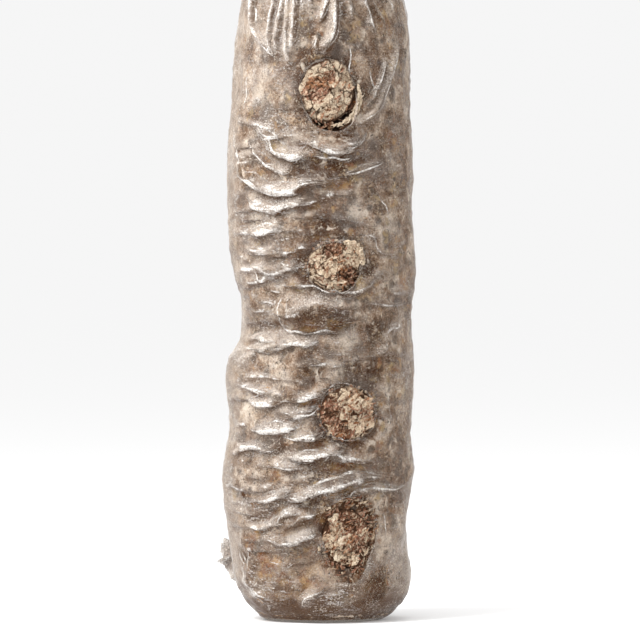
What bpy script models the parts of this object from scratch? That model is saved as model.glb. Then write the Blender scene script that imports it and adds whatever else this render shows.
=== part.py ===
"""A shiitake log: a sawdust block grown through with mycelium, wrapped in clear film.

The film is a tube gathered and tied at both ends. Four spawn plugs sit in holes
through the film. Points and sizes are in millimetres, and the meshes in metres.
+Z is up, the log stands on its flat base at the origin, and the plugs face -Y.
"""

import math

import bpy
import numpy as np
from mathutils import Matrix, Vector

MM = 0.001

# Driving sizes
RADIUS = 50.0  # nominal radius of the wrapped log
SHOULDER_FOOT = 300.0  # where the side starts to round over towards the top
CROWN = 374.0  # where that rounding would close
SHOULDER_POWER = 2.5
BASE_SHARE = 0.74  # radius of the flat base, as a share of the nominal radius
CORNER = 22.0  # height of the rounded edge above the base
CORNER_POWER = 2.4

WALL = 1.6  # film wall, thick enough for a solid; the real film is under 0.1
FLOOR_WALL = 1.2  # the same under the base
GAP = 0.3  # kept between neighbouring pieces
LEAST_WALL = 0.6
BLOCK_TOP = 366.0
BLOCK_EASE = 7.0  # the block's hollows are this much wider than the film's, past its coarser rings

# Corners round each ring, and the height from ring to ring
FILM_STEPS = 32
FILM_PITCH = 6.0
FRONT_FINER = 0.35  # share by which the film's corners draw together at the front
BLOCK_STEPS = 22
BLOCK_PITCH = 14.0
FILM_SHOULDER_RINGS = (372, 369, 365, 360, 354, 347, 339, 330, 321, 312, 304)
FILM_CORNER_RINGS = (21, 15, 10, 6, 3, 1.2, 0)
BLOCK_SHOULDER_RINGS = (362, 350, 335, 318)
BLOCK_CORNER_RINGS = (16, 9, 4)

# Outline of the wrapped log from the front: height, then its reach left and right of the axis
LEFT_REACH = [
    (0, 41), (12, 43.5), (23, 46.5), (34, 48.5), (45, 50.5), (67, 53.2), (78, 53.8),
    (89, 52.7), (100, 51), (121, 50), (132, 50.3), (143, 48.6), (151, 44), (165, 43.8),
    (176, 44.2), (186, 47), (208, 50), (230, 50.5), (262, 50), (284, 48), (306, 46.6),
    (330, 46.6), (380, 46.6),
]
RIGHT_REACH = [
    (0, 47), (12, 49), (23, 49.7), (34, 48.6), (50, 47.8), (67, 49), (78, 50.4),
    (100, 50), (121, 51.5), (143, 51.6), (165, 50.5), (186, 51), (230, 51), (262, 50.5),
    (284, 50), (306, 49), (330, 48.3), (380, 48),
]
FRONT_REACH = [(0, 46), (30, 49), (90, 50), (150, 49), (200, 49.5), (300, 49), (380, 47.5)]
BACK_REACH = [(0, 46), (30, 49), (110, 50), (180, 48.5), (240, 50), (300, 48.5), (380, 47)]

# Spawn plugs from the top down: x and height of the middle, half width, half height
PLUGS = [
    (4.0, 287.0, 15.0, 17.0),
    (8.0, 192.5, 15.0, 13.5),
    (15.5, 113.5, 16.0, 14.5),
    (14.5, 46.5, 14.0, 15.5),
]
PLUG_DEPTH = 24.0
PLUG_TAPER = 0.82
PLUG_PROUD = 1.4
HOLE_PROUD = 14.0  # the cutter for a plug's hole stands out past every fold
PLUG_STEPS = 16

# Broad hollows that the block shares with the film: x and height of points, depth, half width
HOLLOWS = [
    ([(-46, 158), (-33, 160), (-15, 161), (5, 161), (22, 163)], -4.0, 10.0),
    ([(-38, 54), (-27, 59), (-12, 65)], -2.0, 9.0),
    ([(-30, 92), (-15, 93), (0, 95), (8, 98)], -2.0, 9.0),
]

# Folds of the film seen from the front: x and height of points, how far out, half width
FOLDS = [
    ([(-40, 345), (-38, 322), (-30, 310), (-22, 303)], 2.7, 6.0),
    ([(-17, 345), (-18, 325), (-17, 306), (-14, 299)], 3.0, 6.0),
    ([(8, 345), (8, 328), (5, 314), (1, 308)], 3.2, 6.6),
    ([(24, 343), (28, 328), (32, 318)], 2.2, 6.0),
    ([(44, 313), (39, 297), (33, 283), (27, 273), (20, 268)], 2.7, 7.2),
    ([(-46, 268), (-43, 254), (-39, 242), (-29, 234), (-15, 234), (-4, 239), (5, 239)], 4.3, 7.8),
    ([(-33, 270), (-27, 258), (-19, 252), (-8, 256)], 4.1, 7.2),
    ([(-36, 258), (-29, 249), (-20, 244), (-13, 246)], 3.5, 6.0),
    ([(-39, 231), (-33, 225), (-25, 223), (-12, 227), (6, 232), (22, 233)], 3.5, 6.6),
    ([(-38, 210), (-29, 211), (-18, 217)], 3.0, 6.0),
    ([(-41, 201), (-30, 200), (-19, 204)], 3.0, 5.8),
    ([(-38, 190), (-25, 189), (-11, 194)], 3.5, 6.6),
    ([(-21, 178), (-12, 182), (0, 180), (16, 177), (27, 185), (34, 191)], 3.8, 6.6),
    ([(-21, 169), (-8, 171), (6, 172), (22, 172)], 4.3, 8.4),
    ([(-44, 149), (-32, 149), (-15, 152), (-1, 153)], 4.3, 7.2),
    ([(42, 170), (42, 160), (36, 149), (25, 145)], 2.2, 6.0),
    ([(-40, 127), (-30, 128), (-18, 132), (-9, 129)], 2.7, 7.2),
    ([(-38, 120), (-27, 119), (-10, 123), (2, 128), (16, 131)], 3.8, 6.6),
    ([(-36, 106), (-24, 105), (-10, 109), (-2, 114)], 3.8, 6.6),
    ([(-24, 90), (-9, 90), (3, 94), (14, 97)], 3.5, 6.0),
    ([(-42, 92), (-33, 97), (-18, 100), (-2, 102)], 3.0, 6.0),
    ([(0, 88), (12, 90), (28, 88)], 2.4, 6.0),
    ([(-34, 63), (-22, 68), (-8, 70), (5, 75), (20, 78), (36, 77)], 4.6, 7.2),
    ([(-26, 51), (-20, 59), (-10, 64)], 3.5, 6.0),
    ([(-26, 45), (-16, 44), (-2, 51)], 3.2, 6.0),
    ([(-42, 52), (-40, 38), (-38, 22), (-28, 10)], 2.4, 6.0),
]
FOLD_SHARPNESS = 1.2
BACK_FOLDS = 26
BACK_FOLD_LENGTH = (26.0, 62.0)
BACK_FOLD_HEIGHT = (2.0, 4.0)
BACK_FOLD_WIDTH = 6.5

FOLDS_FROM = 1.5  # height where folds and pleats start, above the flat base
FOLDS_FULL = 12.0  # height over which they reach their full relief
FOLD_FADE = 0.16  # share of its length over which a fold fades at each end
PLUG_MARGIN = 4.0  # the film lies flat this far round a plug

# Gathers. Each is a neck under twine with a tuft past it, as (radius, distance past the tie)
NECK_RADIUS = 5.6
NECK_HALF = 2.5  # half the length of the bare neck under the twine
TOP_TIE_HEIGHT = 380.0
TOP_TUFT = [(0, 23), (9, 26), (15, 32), (14, 21), (10, 12), (6.6, 6)]
TOP_TUFT_WIDE = 0.25  # share by which the tuft spreads sideways, and draws in front to back
TOP_TUFT_THIN = 0.45
TOP_TUFT_LEAN = 4.0
PLEATS = 12
PLEAT_FOOT = 296.0
PLEAT_HEIGHT = 2.4
PLEAT_SHARE = 0.24  # most that a pleat moves the surface, as a share of its radius

# The second gather is on the lower back left, where its tail shows beside the log
SIDE_GATHER_ANGLE = math.radians(-138)  # from the front, towards +X
SIDE_GATHER_HEIGHT = 40.0
SIDE_GATHER_DROOP = math.radians(30)
SIDE_GATHER_SUNK = 1.0
SIDE_GATHER_STEPS = 16
SIDE_PLEATS = 8
SIDE_TIE_REACH = 9.0  # from the side of the log to the middle of the tie
SIDE_TUFT = [(0, 14), (6, 15.5), (11.4, 18), (10.6, 12.5), (8.2, 8.5), (6.4, 5.5)]
SIDE_CONE = [(8.5, 4), (14, 0), (20, -7), (0, -7)]  # radius, and reach from the side of the log
SIDE_TUFT_SPREAD = 0.2

TWINE = 0.9  # radius of the twine
TWINE_PITCH = 1.95 * TWINE
TIE_TURNS = 3
TIE_STEPS = 12
TIE_LOBE = math.radians(72)  # how far round each turn of twine its outer side is drawn
KNOT_RADIUS = 2.1
KNOT_OUT = 2.3


def curve_through(stations, at):
    """A smooth curve through (position, value) stations, read at each position."""
    places, values = np.array(stations, float).T
    slopes = np.gradient(values, places)
    at = np.clip(at, places[0], places[-1])
    i = np.clip(np.searchsorted(places, at) - 1, 0, len(places) - 2)
    span = places[i + 1] - places[i]
    t = (at - places[i]) / span
    return (
        (2 * t**3 - 3 * t**2 + 1) * values[i]
        + (t**3 - 2 * t**2 + t) * span * slopes[i]
        + (3 * t**2 - 2 * t**3) * values[i + 1]
        + (t**3 - t**2) * span * slopes[i + 1]
    )


def eased(t):
    t = np.clip(t, 0, 1)
    return t * t * (3 - 2 * t)


def end_share(height):
    """How much of the full radius is left at each height, where both ends round over."""
    low = np.clip(1 - height / CORNER, 0, 1)
    bottom = 1 - (1 - BASE_SHARE) * low**CORNER_POWER
    high = np.clip((height - SHOULDER_FOOT) / (CROWN - SHOULDER_FOOT), 0, 1)
    top = (1 - high**SHOULDER_POWER) ** (1 / SHOULDER_POWER)
    return bottom * top


def reach(angle, height):
    """Radius of the log at an angle from the front, before its ends round over."""
    side = np.where(
        np.sin(angle) > 0,
        curve_through(RIGHT_REACH, height),
        curve_through(LEFT_REACH, height),
    )
    face = np.where(
        np.cos(angle) > 0,
        curve_through(FRONT_REACH, height),
        curve_through(BACK_REACH, height),
    )
    return side * np.sin(angle) ** 2 + face * np.cos(angle) ** 2


def lumps(angle, height):
    """The packed sawdust is a little uneven all over."""
    return (
        0.5 * np.sin(3 * angle + height / 21.0)
        + 0.4 * np.sin(5 * angle - height / 13.0 + 1.0)
        + 0.3 * np.sin(2 * angle + height / 9.0 + 2.0)
    )


def girth_point(x, height):
    """A point seen from the front, as a length round the log and a height."""
    return RADIUS * math.asin(max(-0.98, min(0.98, x / RADIUS))), height


def smooth_line(points, per_leg=5):
    """More points on a smooth line through a few."""
    points = np.array(points, float)
    knots = np.arange(len(points), dtype=float)
    fine = np.linspace(0, len(points) - 1, (len(points) - 1) * per_leg + 1)
    columns = [curve_through(list(zip(knots, column)), fine) for column in points.T]
    return np.stack(columns, axis=1)


def fold(girth, height, line, out, half_width, ease=0.0):
    """A pinched fold along a line: highest within ease of the line, and fading at its ends."""
    turn = 2 * math.pi * RADIUS
    middle = line[:, 0].mean()
    girth = middle + (girth - middle + turn / 2) % turn - turn / 2
    nearest = np.full(np.shape(girth), 1e9)
    along = np.zeros(np.shape(girth))
    legs = len(line) - 1
    for i in range(legs):
        step = line[i + 1] - line[i]
        t = ((girth - line[i, 0]) * step[0] + (height - line[i, 1]) * step[1]) / (step @ step)
        t = np.clip(t, 0, 1)
        away = np.hypot(girth - line[i, 0] - t * step[0], height - line[i, 1] - t * step[1])
        closer = away < nearest
        nearest = np.where(closer, away, nearest)
        along = np.where(closer, (i + t) / legs, along)
    fade = eased(np.minimum(along, 1 - along) / FOLD_FADE + 0.25)
    nearest = np.maximum(nearest - ease, 0)
    return out * fade * np.clip(1 - nearest / half_width, 0, 1) ** FOLD_SHARPNESS


def back_folds():
    """Slanting folds round the sides and the back, placed by rule."""
    chance = np.random.default_rng(7)
    made = []
    for i in range(BACK_FOLDS):
        height = 30 + 285 * (i + 0.5) / BACK_FOLDS
        middle = RADIUS * math.radians(80 + 200 * ((i * 0.618) % 1))
        length = chance.uniform(*BACK_FOLD_LENGTH)
        rise = chance.uniform(-0.35, 0.35) * length
        bend = chance.uniform(-5, 5)
        line = smooth_line(
            [
                (middle - length / 2, height - rise / 2),
                (middle, height + bend),
                (middle + length / 2, height + rise / 2),
            ]
        )
        made.append((line, chance.uniform(*BACK_FOLD_HEIGHT), BACK_FOLD_WIDTH))
    return made


def core_radius(angle, height, ease=0.0):
    """Radius of the shape that block and film share. ease widens its hollows."""
    girth = RADIUS * angle
    radius = reach(angle, height) + lumps(angle, height)
    for points, out, half_width in HOLLOWS:
        line = smooth_line([girth_point(*p) for p in points])
        radius = radius + fold(girth, height, line, out, half_width, ease)
    return radius


def pleats(angle, height, radius):
    """Gathered film: pleats that deepen towards the tie."""
    rise = eased((height - PLEAT_FOOT) / (CROWN - PLEAT_FOOT))
    depth = np.minimum(PLEAT_HEIGHT * rise, PLEAT_SHARE * radius)
    return depth * np.cos(PLEATS * angle + 0.4 * np.sin(3 * angle))


def film_relief(angle, height):
    """How far the folds stand out from the shape under them."""
    girth = RADIUS * angle
    relief = np.zeros(np.shape(angle))
    for points, out, half_width in FOLDS:
        line = smooth_line([girth_point(*p) for p in points])
        relief = np.maximum(relief, fold(girth, height, line, out, half_width))
    for line, out, half_width in back_folds():
        relief = np.maximum(relief, fold(girth, height, line, out, half_width))
    near_plug = np.ones(np.shape(angle))
    for x, middle, half_width, half_height in PLUGS:
        from_middle = np.hypot(
            (girth - girth_point(x, 0)[0]) / (half_width + PLUG_MARGIN),
            (height - middle) / (half_height + PLUG_MARGIN),
        )
        near_plug = np.minimum(near_plug, eased((from_middle - 0.55) / 0.5))
    return relief * near_plug


def principled(name, colour, roughness, alpha=1.0):
    material = bpy.data.materials.new(name)
    material.use_nodes = True
    shader = material.node_tree.nodes["Principled BSDF"]
    shader.inputs["Base Color"].default_value = (*colour, 1)
    shader.inputs["Roughness"].default_value = roughness
    shader.inputs["Metallic"].default_value = 0.0
    shader.inputs["Alpha"].default_value = alpha
    return material


def turned(name, profile, steps, closed=False):
    """A profile of (radius, height) points, top to bottom, turned about Z into a mesh."""
    mesh = bpy.data.meshes.new(name + "_profile")
    corners = [(r * MM, 0, h * MM) for r, h in profile]
    edges = [(i, i + 1) for i in range(len(corners) - 1)]
    if closed:
        edges.append((len(corners) - 1, 0))
    mesh.from_pydata(corners, edges, [])
    lathe = bpy.data.objects.new(name + "_lathe", mesh)
    bpy.context.scene.collection.objects.link(lathe)
    screw = lathe.modifiers.new("Turn", "SCREW")
    screw.axis = "Z"
    screw.steps = screw.render_steps = steps
    screw.use_merge_vertices = True
    screw.merge_threshold = 0.00001
    bpy.context.view_layer.update()
    seen = lathe.evaluated_get(bpy.context.evaluated_depsgraph_get())
    result = bpy.data.meshes.new_from_object(seen)
    result.name = name
    bpy.data.objects.remove(lathe)
    return result


def reshape(mesh, rule):
    """Moves every corner of a mesh by a rule on arrays of millimetres."""
    flat = np.zeros(len(mesh.vertices) * 3)
    mesh.vertices.foreach_get("co", flat)
    x, y, z = (flat.reshape(-1, 3) / MM).T
    moved = np.stack(rule(x, y, z), axis=1) * MM
    mesh.vertices.foreach_set("co", moved.ravel())
    mesh.update()
    return mesh


def add(mesh, collection, material=None, matrix=None):
    piece = bpy.data.objects.new(mesh.name, mesh)
    collection.objects.link(piece)
    if material is not None:
        mesh.materials.clear()
        mesh.materials.append(material)
    if matrix is not None:
        piece.matrix_world = matrix
    mesh.shade_smooth()
    mesh.set_sharp_from_angle(angle=math.radians(40))
    return piece


def guide(piece):
    piece.hide_render = True
    piece.display_type = "WIRE"
    return piece


def combine(piece, other, operation):
    modifier = piece.modifiers.new(operation.title() + "_" + other.name, "BOOLEAN")
    modifier.operation = operation
    modifier.solver = "EXACT"
    modifier.object = other


def rings(heights):
    """Profile points of the nominal log at some heights, drawn in where its ends round over."""
    return [(RADIUS * float(end_share(np.float64(h))), h) for h in heights]


def straight_side(pitch, low, high):
    count = round((high - low) / pitch)
    return [(RADIUS, high - (high - low) * i / count) for i in range(count + 1)]


def gathered(tuft, tie):
    """Profile of a tuft and the neck under its twine, where tie is the twine's middle."""
    past = [(radius, tie + reach_past) for radius, reach_past in tuft]
    return past + [(NECK_RADIUS, tie + NECK_HALF), (NECK_RADIUS, tie - NECK_HALF)]


def film_outside():
    """The film's outer surface: body, top gather and the tuft above its tie."""
    profile = gathered(TOP_TUFT, TOP_TIE_HEIGHT) + [(9.5, 373.4)]
    profile += rings(FILM_SHOULDER_RINGS)
    profile += straight_side(FILM_PITCH, CORNER + 5, SHOULDER_FOOT - 1)
    profile += rings(FILM_CORNER_RINGS) + [(0, 0)]
    mesh = turned("film_bag", profile, FILM_STEPS)

    def rule(x, y, z):
        angle = np.arctan2(x, -y)
        angle = angle - FRONT_FINER * np.sin(angle)
        nominal = np.hypot(x, y)
        on_body = z < TOP_TIE_HEIGHT - 2 * NECK_HALF
        grown = nominal * core_radius(angle, z) / RADIUS
        relief = film_relief(angle, z) * eased((z - FOLDS_FROM) / FOLDS_FULL)
        relief = relief + pleats(angle, z, grown)
        body = np.maximum(grown + relief, grown - WALL + LEAST_WALL)
        body = np.where(z < 0.5, grown, body)
        outside_neck = nominal > NECK_RADIUS + 2
        fan = nominal * (1 + PLEAT_SHARE * np.cos(PLEATS * angle) * outside_neck)
        spread = eased((z - TOP_TIE_HEIGHT - NECK_HALF) / 20) * ~on_body
        radius = np.where(on_body, body, fan)
        return (
            radius * np.sin(angle) * (1 + TOP_TUFT_WIDE * spread) + TOP_TUFT_LEAN * spread,
            -radius * np.cos(angle) * (1 - TOP_TUFT_THIN * spread),
            z,
        )

    return reshape(mesh, rule)


def core_mesh(name, inset, low, high):
    """The shape under the film, set in by some millimetres: the block, or the room for it."""
    profile = [(0, high), (14, high - 1.5)] + rings(BLOCK_SHOULDER_RINGS)
    profile += straight_side(BLOCK_PITCH, CORNER + 4, SHOULDER_FOOT)
    profile += rings(BLOCK_CORNER_RINGS) + [(RADIUS * BASE_SHARE, low), (0, low)]
    mesh = turned(name, profile, BLOCK_STEPS)

    def rule(x, y, z):
        angle = np.arctan2(x, -y)
        nominal = np.hypot(x, y)
        grown = nominal * core_radius(angle, z, BLOCK_EASE) / RADIUS
        radius = np.where(nominal > 20, grown - inset, grown)
        return radius * np.sin(angle), -radius * np.cos(angle), z

    return reshape(mesh, rule)


def side_gather():
    """Gathered film at the lower back left: a cone off the side, its neck and its tuft."""
    mesh = turned("side_gather", gathered(SIDE_TUFT, SIDE_TIE_REACH) + SIDE_CONE, SIDE_GATHER_STEPS)

    def rule(x, y, z):
        angle = np.arctan2(y, x)
        nominal = np.hypot(x, y)
        pleated = (nominal > NECK_RADIUS + 1.4) & (z > SIDE_CONE[-1][1] + 1)
        fan = nominal * (1 + PLEAT_SHARE * np.cos(SIDE_PLEATS * angle) * pleated)
        spread = SIDE_TUFT_SPREAD * eased((z - SIDE_TIE_REACH - NECK_HALF) / 16)
        return fan * np.cos(angle) * (1 - spread), fan * np.sin(angle) * (1 + spread), z

    return reshape(mesh, rule)


def outward_frame(angle, height, droop=0.0, sunk=0.0):
    """A frame on the log's side: its Z points out of the log, and its Y up."""
    outward = Vector((math.sin(angle), -math.cos(angle), 0))
    radius = float(core_radius(np.array([angle]), np.array([float(height)]))[0]) - sunk
    across = Vector((math.cos(angle), math.sin(angle), 0))
    out = outward * math.cos(droop) - Vector((0, 0, 1)) * math.sin(droop)
    up = out.cross(across)
    turn = Matrix((across, up, out)).transposed().to_4x4()
    place = outward * radius + Vector((0, 0, height))
    return Matrix.Translation(place * MM) @ turn


def plug_mesh(name, half_width, half_height, spare, outer, seed):
    """A tapered plug whose face bows with the log's side."""
    deep = PLUG_DEPTH + spare
    profile = [(0, outer), (0.55, outer), (0.9, outer), (1.0, outer - 1.2), (1.0, -4)]
    profile += [(PLUG_TAPER, -deep), (0, -deep)]
    mesh = turned(name, profile, PLUG_STEPS)
    chance = np.random.default_rng(seed)
    shifts = chance.uniform(0, 2 * math.pi, 4)

    def rule(x, y, z):
        angle = np.arctan2(y, x)
        share = np.hypot(x, y)
        ragged = 1 + 0.012 * np.sin(3 * angle + shifts[0]) + 0.01 * np.sin(5 * angle + shifts[1])
        across = share * (half_width * ragged + spare) * np.cos(angle)
        up = share * (half_height * ragged + spare) * np.sin(angle)
        bow = across**2 / (2 * RADIUS)
        uneven = 0.6 * np.sin(across / 4 + shifts[2]) * np.sin(up / 4 + shifts[3])
        face = z > -3
        return across, up, np.where(face, z - bow + uneven * (spare == 0), z)

    return reshape(mesh, rule)


def tie_ring(name, neck, collection, material, matrix, cutters):
    """Twine wound round a neck and knotted, as one solid."""
    inner = neck + GAP
    outside = []
    for turn in range(TIE_TURNS):
        middle = TWINE_PITCH * ((TIE_TURNS - 1) / 2 - turn)
        for bearing in (TIE_LOBE, 0, -TIE_LOBE):
            outside.append(
                (inner + TWINE + TWINE * math.cos(bearing), middle + TWINE * math.sin(bearing))
            )
    inside = [(inner, outside[-1][1]), (inner, outside[0][1])]
    ring = turned(name, outside + inside, TIE_STEPS, closed=True)
    ring = add(ring, collection, material, matrix)
    bpy.ops.mesh.primitive_uv_sphere_add(segments=10, ring_count=6, radius=KNOT_RADIUS * MM)
    knot = bpy.context.object
    knot.name = name + "_knot"
    knot.matrix_world = matrix @ Matrix.Translation(Vector((0, -(inner + KNOT_OUT), 0)) * MM)
    for home in list(knot.users_collection):
        home.objects.unlink(knot)
    cutters.objects.link(knot)
    combine(ring, guide(knot), "UNION")
    return ring


def build():
    for old in list(bpy.data.objects):
        bpy.data.objects.remove(old)
    scene = bpy.context.scene
    log = bpy.data.collections.new("shiitake_log")
    cutters = bpy.data.collections.new("cutters")
    scene.collection.children.link(log)
    scene.collection.children.link(cutters)

    film_look = principled("clear_film", (0.78, 0.75, 0.71), 0.25, alpha=0.45)
    block_look = principled("colonised_sawdust", (0.42, 0.34, 0.26), 0.9)
    spawn_look = principled("spawn", (0.72, 0.64, 0.50), 0.9)
    twine_look = principled("twine", (0.80, 0.78, 0.72), 0.6)

    film = add(film_outside(), log, film_look)
    inside = core_mesh("substrate_block", WALL + GAP, FLOOR_WALL + GAP, BLOCK_TOP)
    block = add(inside, log, block_look)

    gather_frame = outward_frame(
        SIDE_GATHER_ANGLE, SIDE_GATHER_HEIGHT, SIDE_GATHER_DROOP, SIDE_GATHER_SUNK
    )
    gather = guide(add(side_gather(), cutters, matrix=gather_frame))
    combine(film, gather, "UNION")
    room = core_mesh("block_room", WALL, FLOOR_WALL, BLOCK_TOP + GAP)
    room = guide(add(room, cutters))
    combine(film, room, "DIFFERENCE")

    for number, (x, height, half_width, half_height) in enumerate(PLUGS, start=1):
        frame = outward_frame(girth_point(x, 0)[0] / RADIUS, height)
        name = f"spawn_plug_{number}"
        plug = plug_mesh(name, half_width, half_height, 0, PLUG_PROUD, number)
        add(plug, log, spawn_look, frame)
        hole = plug_mesh(name + "_hole", half_width, half_height, GAP, HOLE_PROUD, number)
        hole = guide(add(hole, cutters, matrix=frame))
        combine(film, hole, "DIFFERENCE")
        combine(block, hole, "DIFFERENCE")

    top_frame = Matrix.Translation((0, 0, TOP_TIE_HEIGHT * MM))
    tie_ring("top_tie", NECK_RADIUS, log, twine_look, top_frame, cutters)
    side_frame = gather_frame @ Matrix.Translation((0, 0, SIDE_TIE_REACH * MM))
    tie_ring("side_tie", NECK_RADIUS, log, twine_look, side_frame, cutters)


build()
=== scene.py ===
"""A shiitake log dressed for rendering: grown sawdust under clear, wrinkled film.

Lengths are in millimetres while a shape is worked out, and metres in the meshes.
The plugs face -Y, +Z is up, and the log stands at the origin.
"""

import math

import bpy
import numpy as np
from mathutils import Matrix, Vector


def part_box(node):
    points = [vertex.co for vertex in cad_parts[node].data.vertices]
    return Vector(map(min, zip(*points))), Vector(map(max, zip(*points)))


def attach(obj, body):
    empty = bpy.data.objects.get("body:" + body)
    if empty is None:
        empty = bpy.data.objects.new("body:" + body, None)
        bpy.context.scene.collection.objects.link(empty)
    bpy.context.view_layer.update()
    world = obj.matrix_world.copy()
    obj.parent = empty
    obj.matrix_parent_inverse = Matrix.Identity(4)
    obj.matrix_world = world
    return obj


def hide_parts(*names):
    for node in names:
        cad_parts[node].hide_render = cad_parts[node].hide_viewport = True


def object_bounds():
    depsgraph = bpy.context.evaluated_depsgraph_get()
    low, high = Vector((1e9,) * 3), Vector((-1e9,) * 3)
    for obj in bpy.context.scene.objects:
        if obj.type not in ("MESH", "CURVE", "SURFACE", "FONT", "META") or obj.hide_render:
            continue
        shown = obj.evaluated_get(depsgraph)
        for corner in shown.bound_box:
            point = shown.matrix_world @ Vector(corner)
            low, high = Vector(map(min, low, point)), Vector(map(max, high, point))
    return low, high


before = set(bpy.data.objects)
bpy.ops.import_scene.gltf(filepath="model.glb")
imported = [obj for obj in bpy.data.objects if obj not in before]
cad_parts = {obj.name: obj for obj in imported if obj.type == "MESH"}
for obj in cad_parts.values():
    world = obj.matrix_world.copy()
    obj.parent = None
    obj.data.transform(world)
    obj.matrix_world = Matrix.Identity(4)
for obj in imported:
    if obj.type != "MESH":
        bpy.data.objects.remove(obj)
CAD_BOX = [list(corner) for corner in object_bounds()]

MM = 0.001

# ---------------------------------------------------------------- the log's own sizes
RADIUS = 50.0  # nominal radius of the wrapped log
TOP = CAD_BOX[1][2] / MM
CORNER = 22.0  # height over which the foot rounds under
BASE_SHARE = 0.74  # of the radius, left at the floor
CORNER_POWER = 2.4
SHOULDER_FOOT = 300.0
CROWN = 374.0  # where the shoulder would close
SHOULDER_POWER = 2.5
NECK_RADIUS = 5.6
TOP_TIE_HEIGHT = sum(corner.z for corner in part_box("top_tie")) / 2 / MM

# Reach of the wrapped log from its axis: height, then millimetres
LEFT_REACH = [
    (0, 41), (12, 43.5), (23, 46.5), (34, 48.5), (45, 50.5), (67, 53.2), (78, 53.8),
    (89, 52.7), (100, 51), (121, 50), (132, 50.3), (143, 48.6), (151, 44), (165, 43.8),
    (176, 44.2), (186, 47), (208, 50), (230, 50.5), (262, 50), (284, 48), (306, 46.6),
    (330, 46.6), (380, 46.6),
]
RIGHT_REACH = [
    (0, 47), (12, 49), (23, 49.7), (34, 48.6), (50, 47.8), (67, 49), (78, 50.4),
    (100, 50), (121, 51.5), (143, 51.6), (165, 50.5), (186, 51), (230, 51), (262, 50.5),
    (284, 50), (306, 49), (330, 48.3), (380, 48),
]
FRONT_REACH = [(0, 46), (30, 49), (90, 50), (150, 49), (200, 49.5), (300, 49), (380, 47.5)]
BACK_REACH = [(0, 46), (30, 49), (110, 50), (180, 48.5), (240, 50), (300, 48.5), (380, 47)]

# Meshes
FILM_COLUMNS = 240
FILM_PITCH = 1.04
FILM_TOP, FILM_FOOT = 352.0, 2.0  # heights of the side's first and last rows
FRONT_FINER = 0.3  # share by which the film's columns draw together at the front
BLOCK_COLUMNS = 250
BLOCK_PITCH = 1.2
BLOCK_TOP, BLOCK_FOOT = 366.0, 1.5
FILM_CLEAR = 0.9  # from the block's mean surface to the film where it lies close
FOLD_FILL = 0.6  # share of a fold's height that the block fills

# Spawn plugs from the top down. Each has:
# - its middle, its half width and half height;
# - the reach of the hole in the film round it, as (bearing in degrees from +X, mm) points;
# - the bearing and height of the film's flap, and bare brown places as (x, y, radius) shares;
# - how grey and rough it is, and how many loose bits lie on it and round it;
# - for some, a gap open below, cracks at the rim, or a band of crust on the film's edge.
PLUGS = [
    dict(
        x=4.0, height=287.0, half_width=15.0, half_height=17.0,
        hole=[(0, 15.4), (45, 16.3), (90, 17.2), (135, 16.4), (180, 15.2), (225, 17.0),
              (262, 22.5), (295, 23.5), (325, 18.4)],
        open_below=True, flap=(-34, 3.4), bare=[(-0.40, 0.02, 0.46), (0.1, 0.42, 0.22)],
        crust_edge=dict(span=(-80, 8), away=1.9, count=110, flat=True), grey=0.30,
        rough=0.07, flakes=70, shavings=40, crumbs=170, crumb_depth=1.2, crumb_wood=0.95,
    ),
    dict(
        x=8.0, height=192.5, half_width=15.0, half_height=13.5,
        hole=[(0, 16.0), (30, 18.5), (60, 16.0), (90, 14.0), (135, 14.6), (180, 15.2),
              (225, 14.6), (270, 13.7), (315, 14.6)],
        flap=(-70, 2.2), bare=[(0.5, -0.35, 0.42), (0.0, 0.75, 0.4)],
        crust_edge=dict(span=(8, 66), away=0.4, count=60, flat=False), grey=0.12,
        rough=0.14, flakes=150, shavings=40, crumbs=110,
    ),
    dict(
        x=15.5, height=113.5, half_width=16.0, half_height=14.5,
        hole=[(0, 16.2), (45, 15.8), (90, 15.4), (135, 16.2), (180, 16.4), (225, 15.6),
              (270, 14.7), (315, 15.4)],
        flap=(-100, 1.6), bare=[(-0.62, 0.1, 0.55), (-0.2, -0.6, 0.4)],
        rim_cracks=True, grey=0.04, rough=0.18, flakes=240, shavings=100, crumbs=80,
    ),
    dict(
        x=14.5, height=46.5, half_width=14.0, half_height=15.5,
        hole=[(0, 18.0), (40, 22.0), (75, 22.5), (110, 21.5), (150, 18.0), (180, 14.6),
              (225, 16.0), (262, 24.0), (285, 24.5), (315, 17.5)],
        flap=(-30, 2.0), bare=[(0.35, -0.15, 0.36), (0.3, 0.85, 0.75)],
        rim_cracks=True, one_way=True, grey=0.04, rough=0.18, flakes=240, shavings=80, crumbs=330,
    ),
]
PLUG_DEPTH = 24.0

# Broad hollows of the block and the film alike: points of (x, height), depth, half width
HOLLOWS = [
    ([(-46, 158), (-33, 160), (-15, 161), (5, 161), (22, 163)], -4.0, 10.0),
    ([(-38, 54), (-27, 59), (-12, 65)], -2.0, 9.0),
    ([(-30, 92), (-15, 93), (0, 95), (8, 98)], -2.0, 9.0),
]

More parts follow.
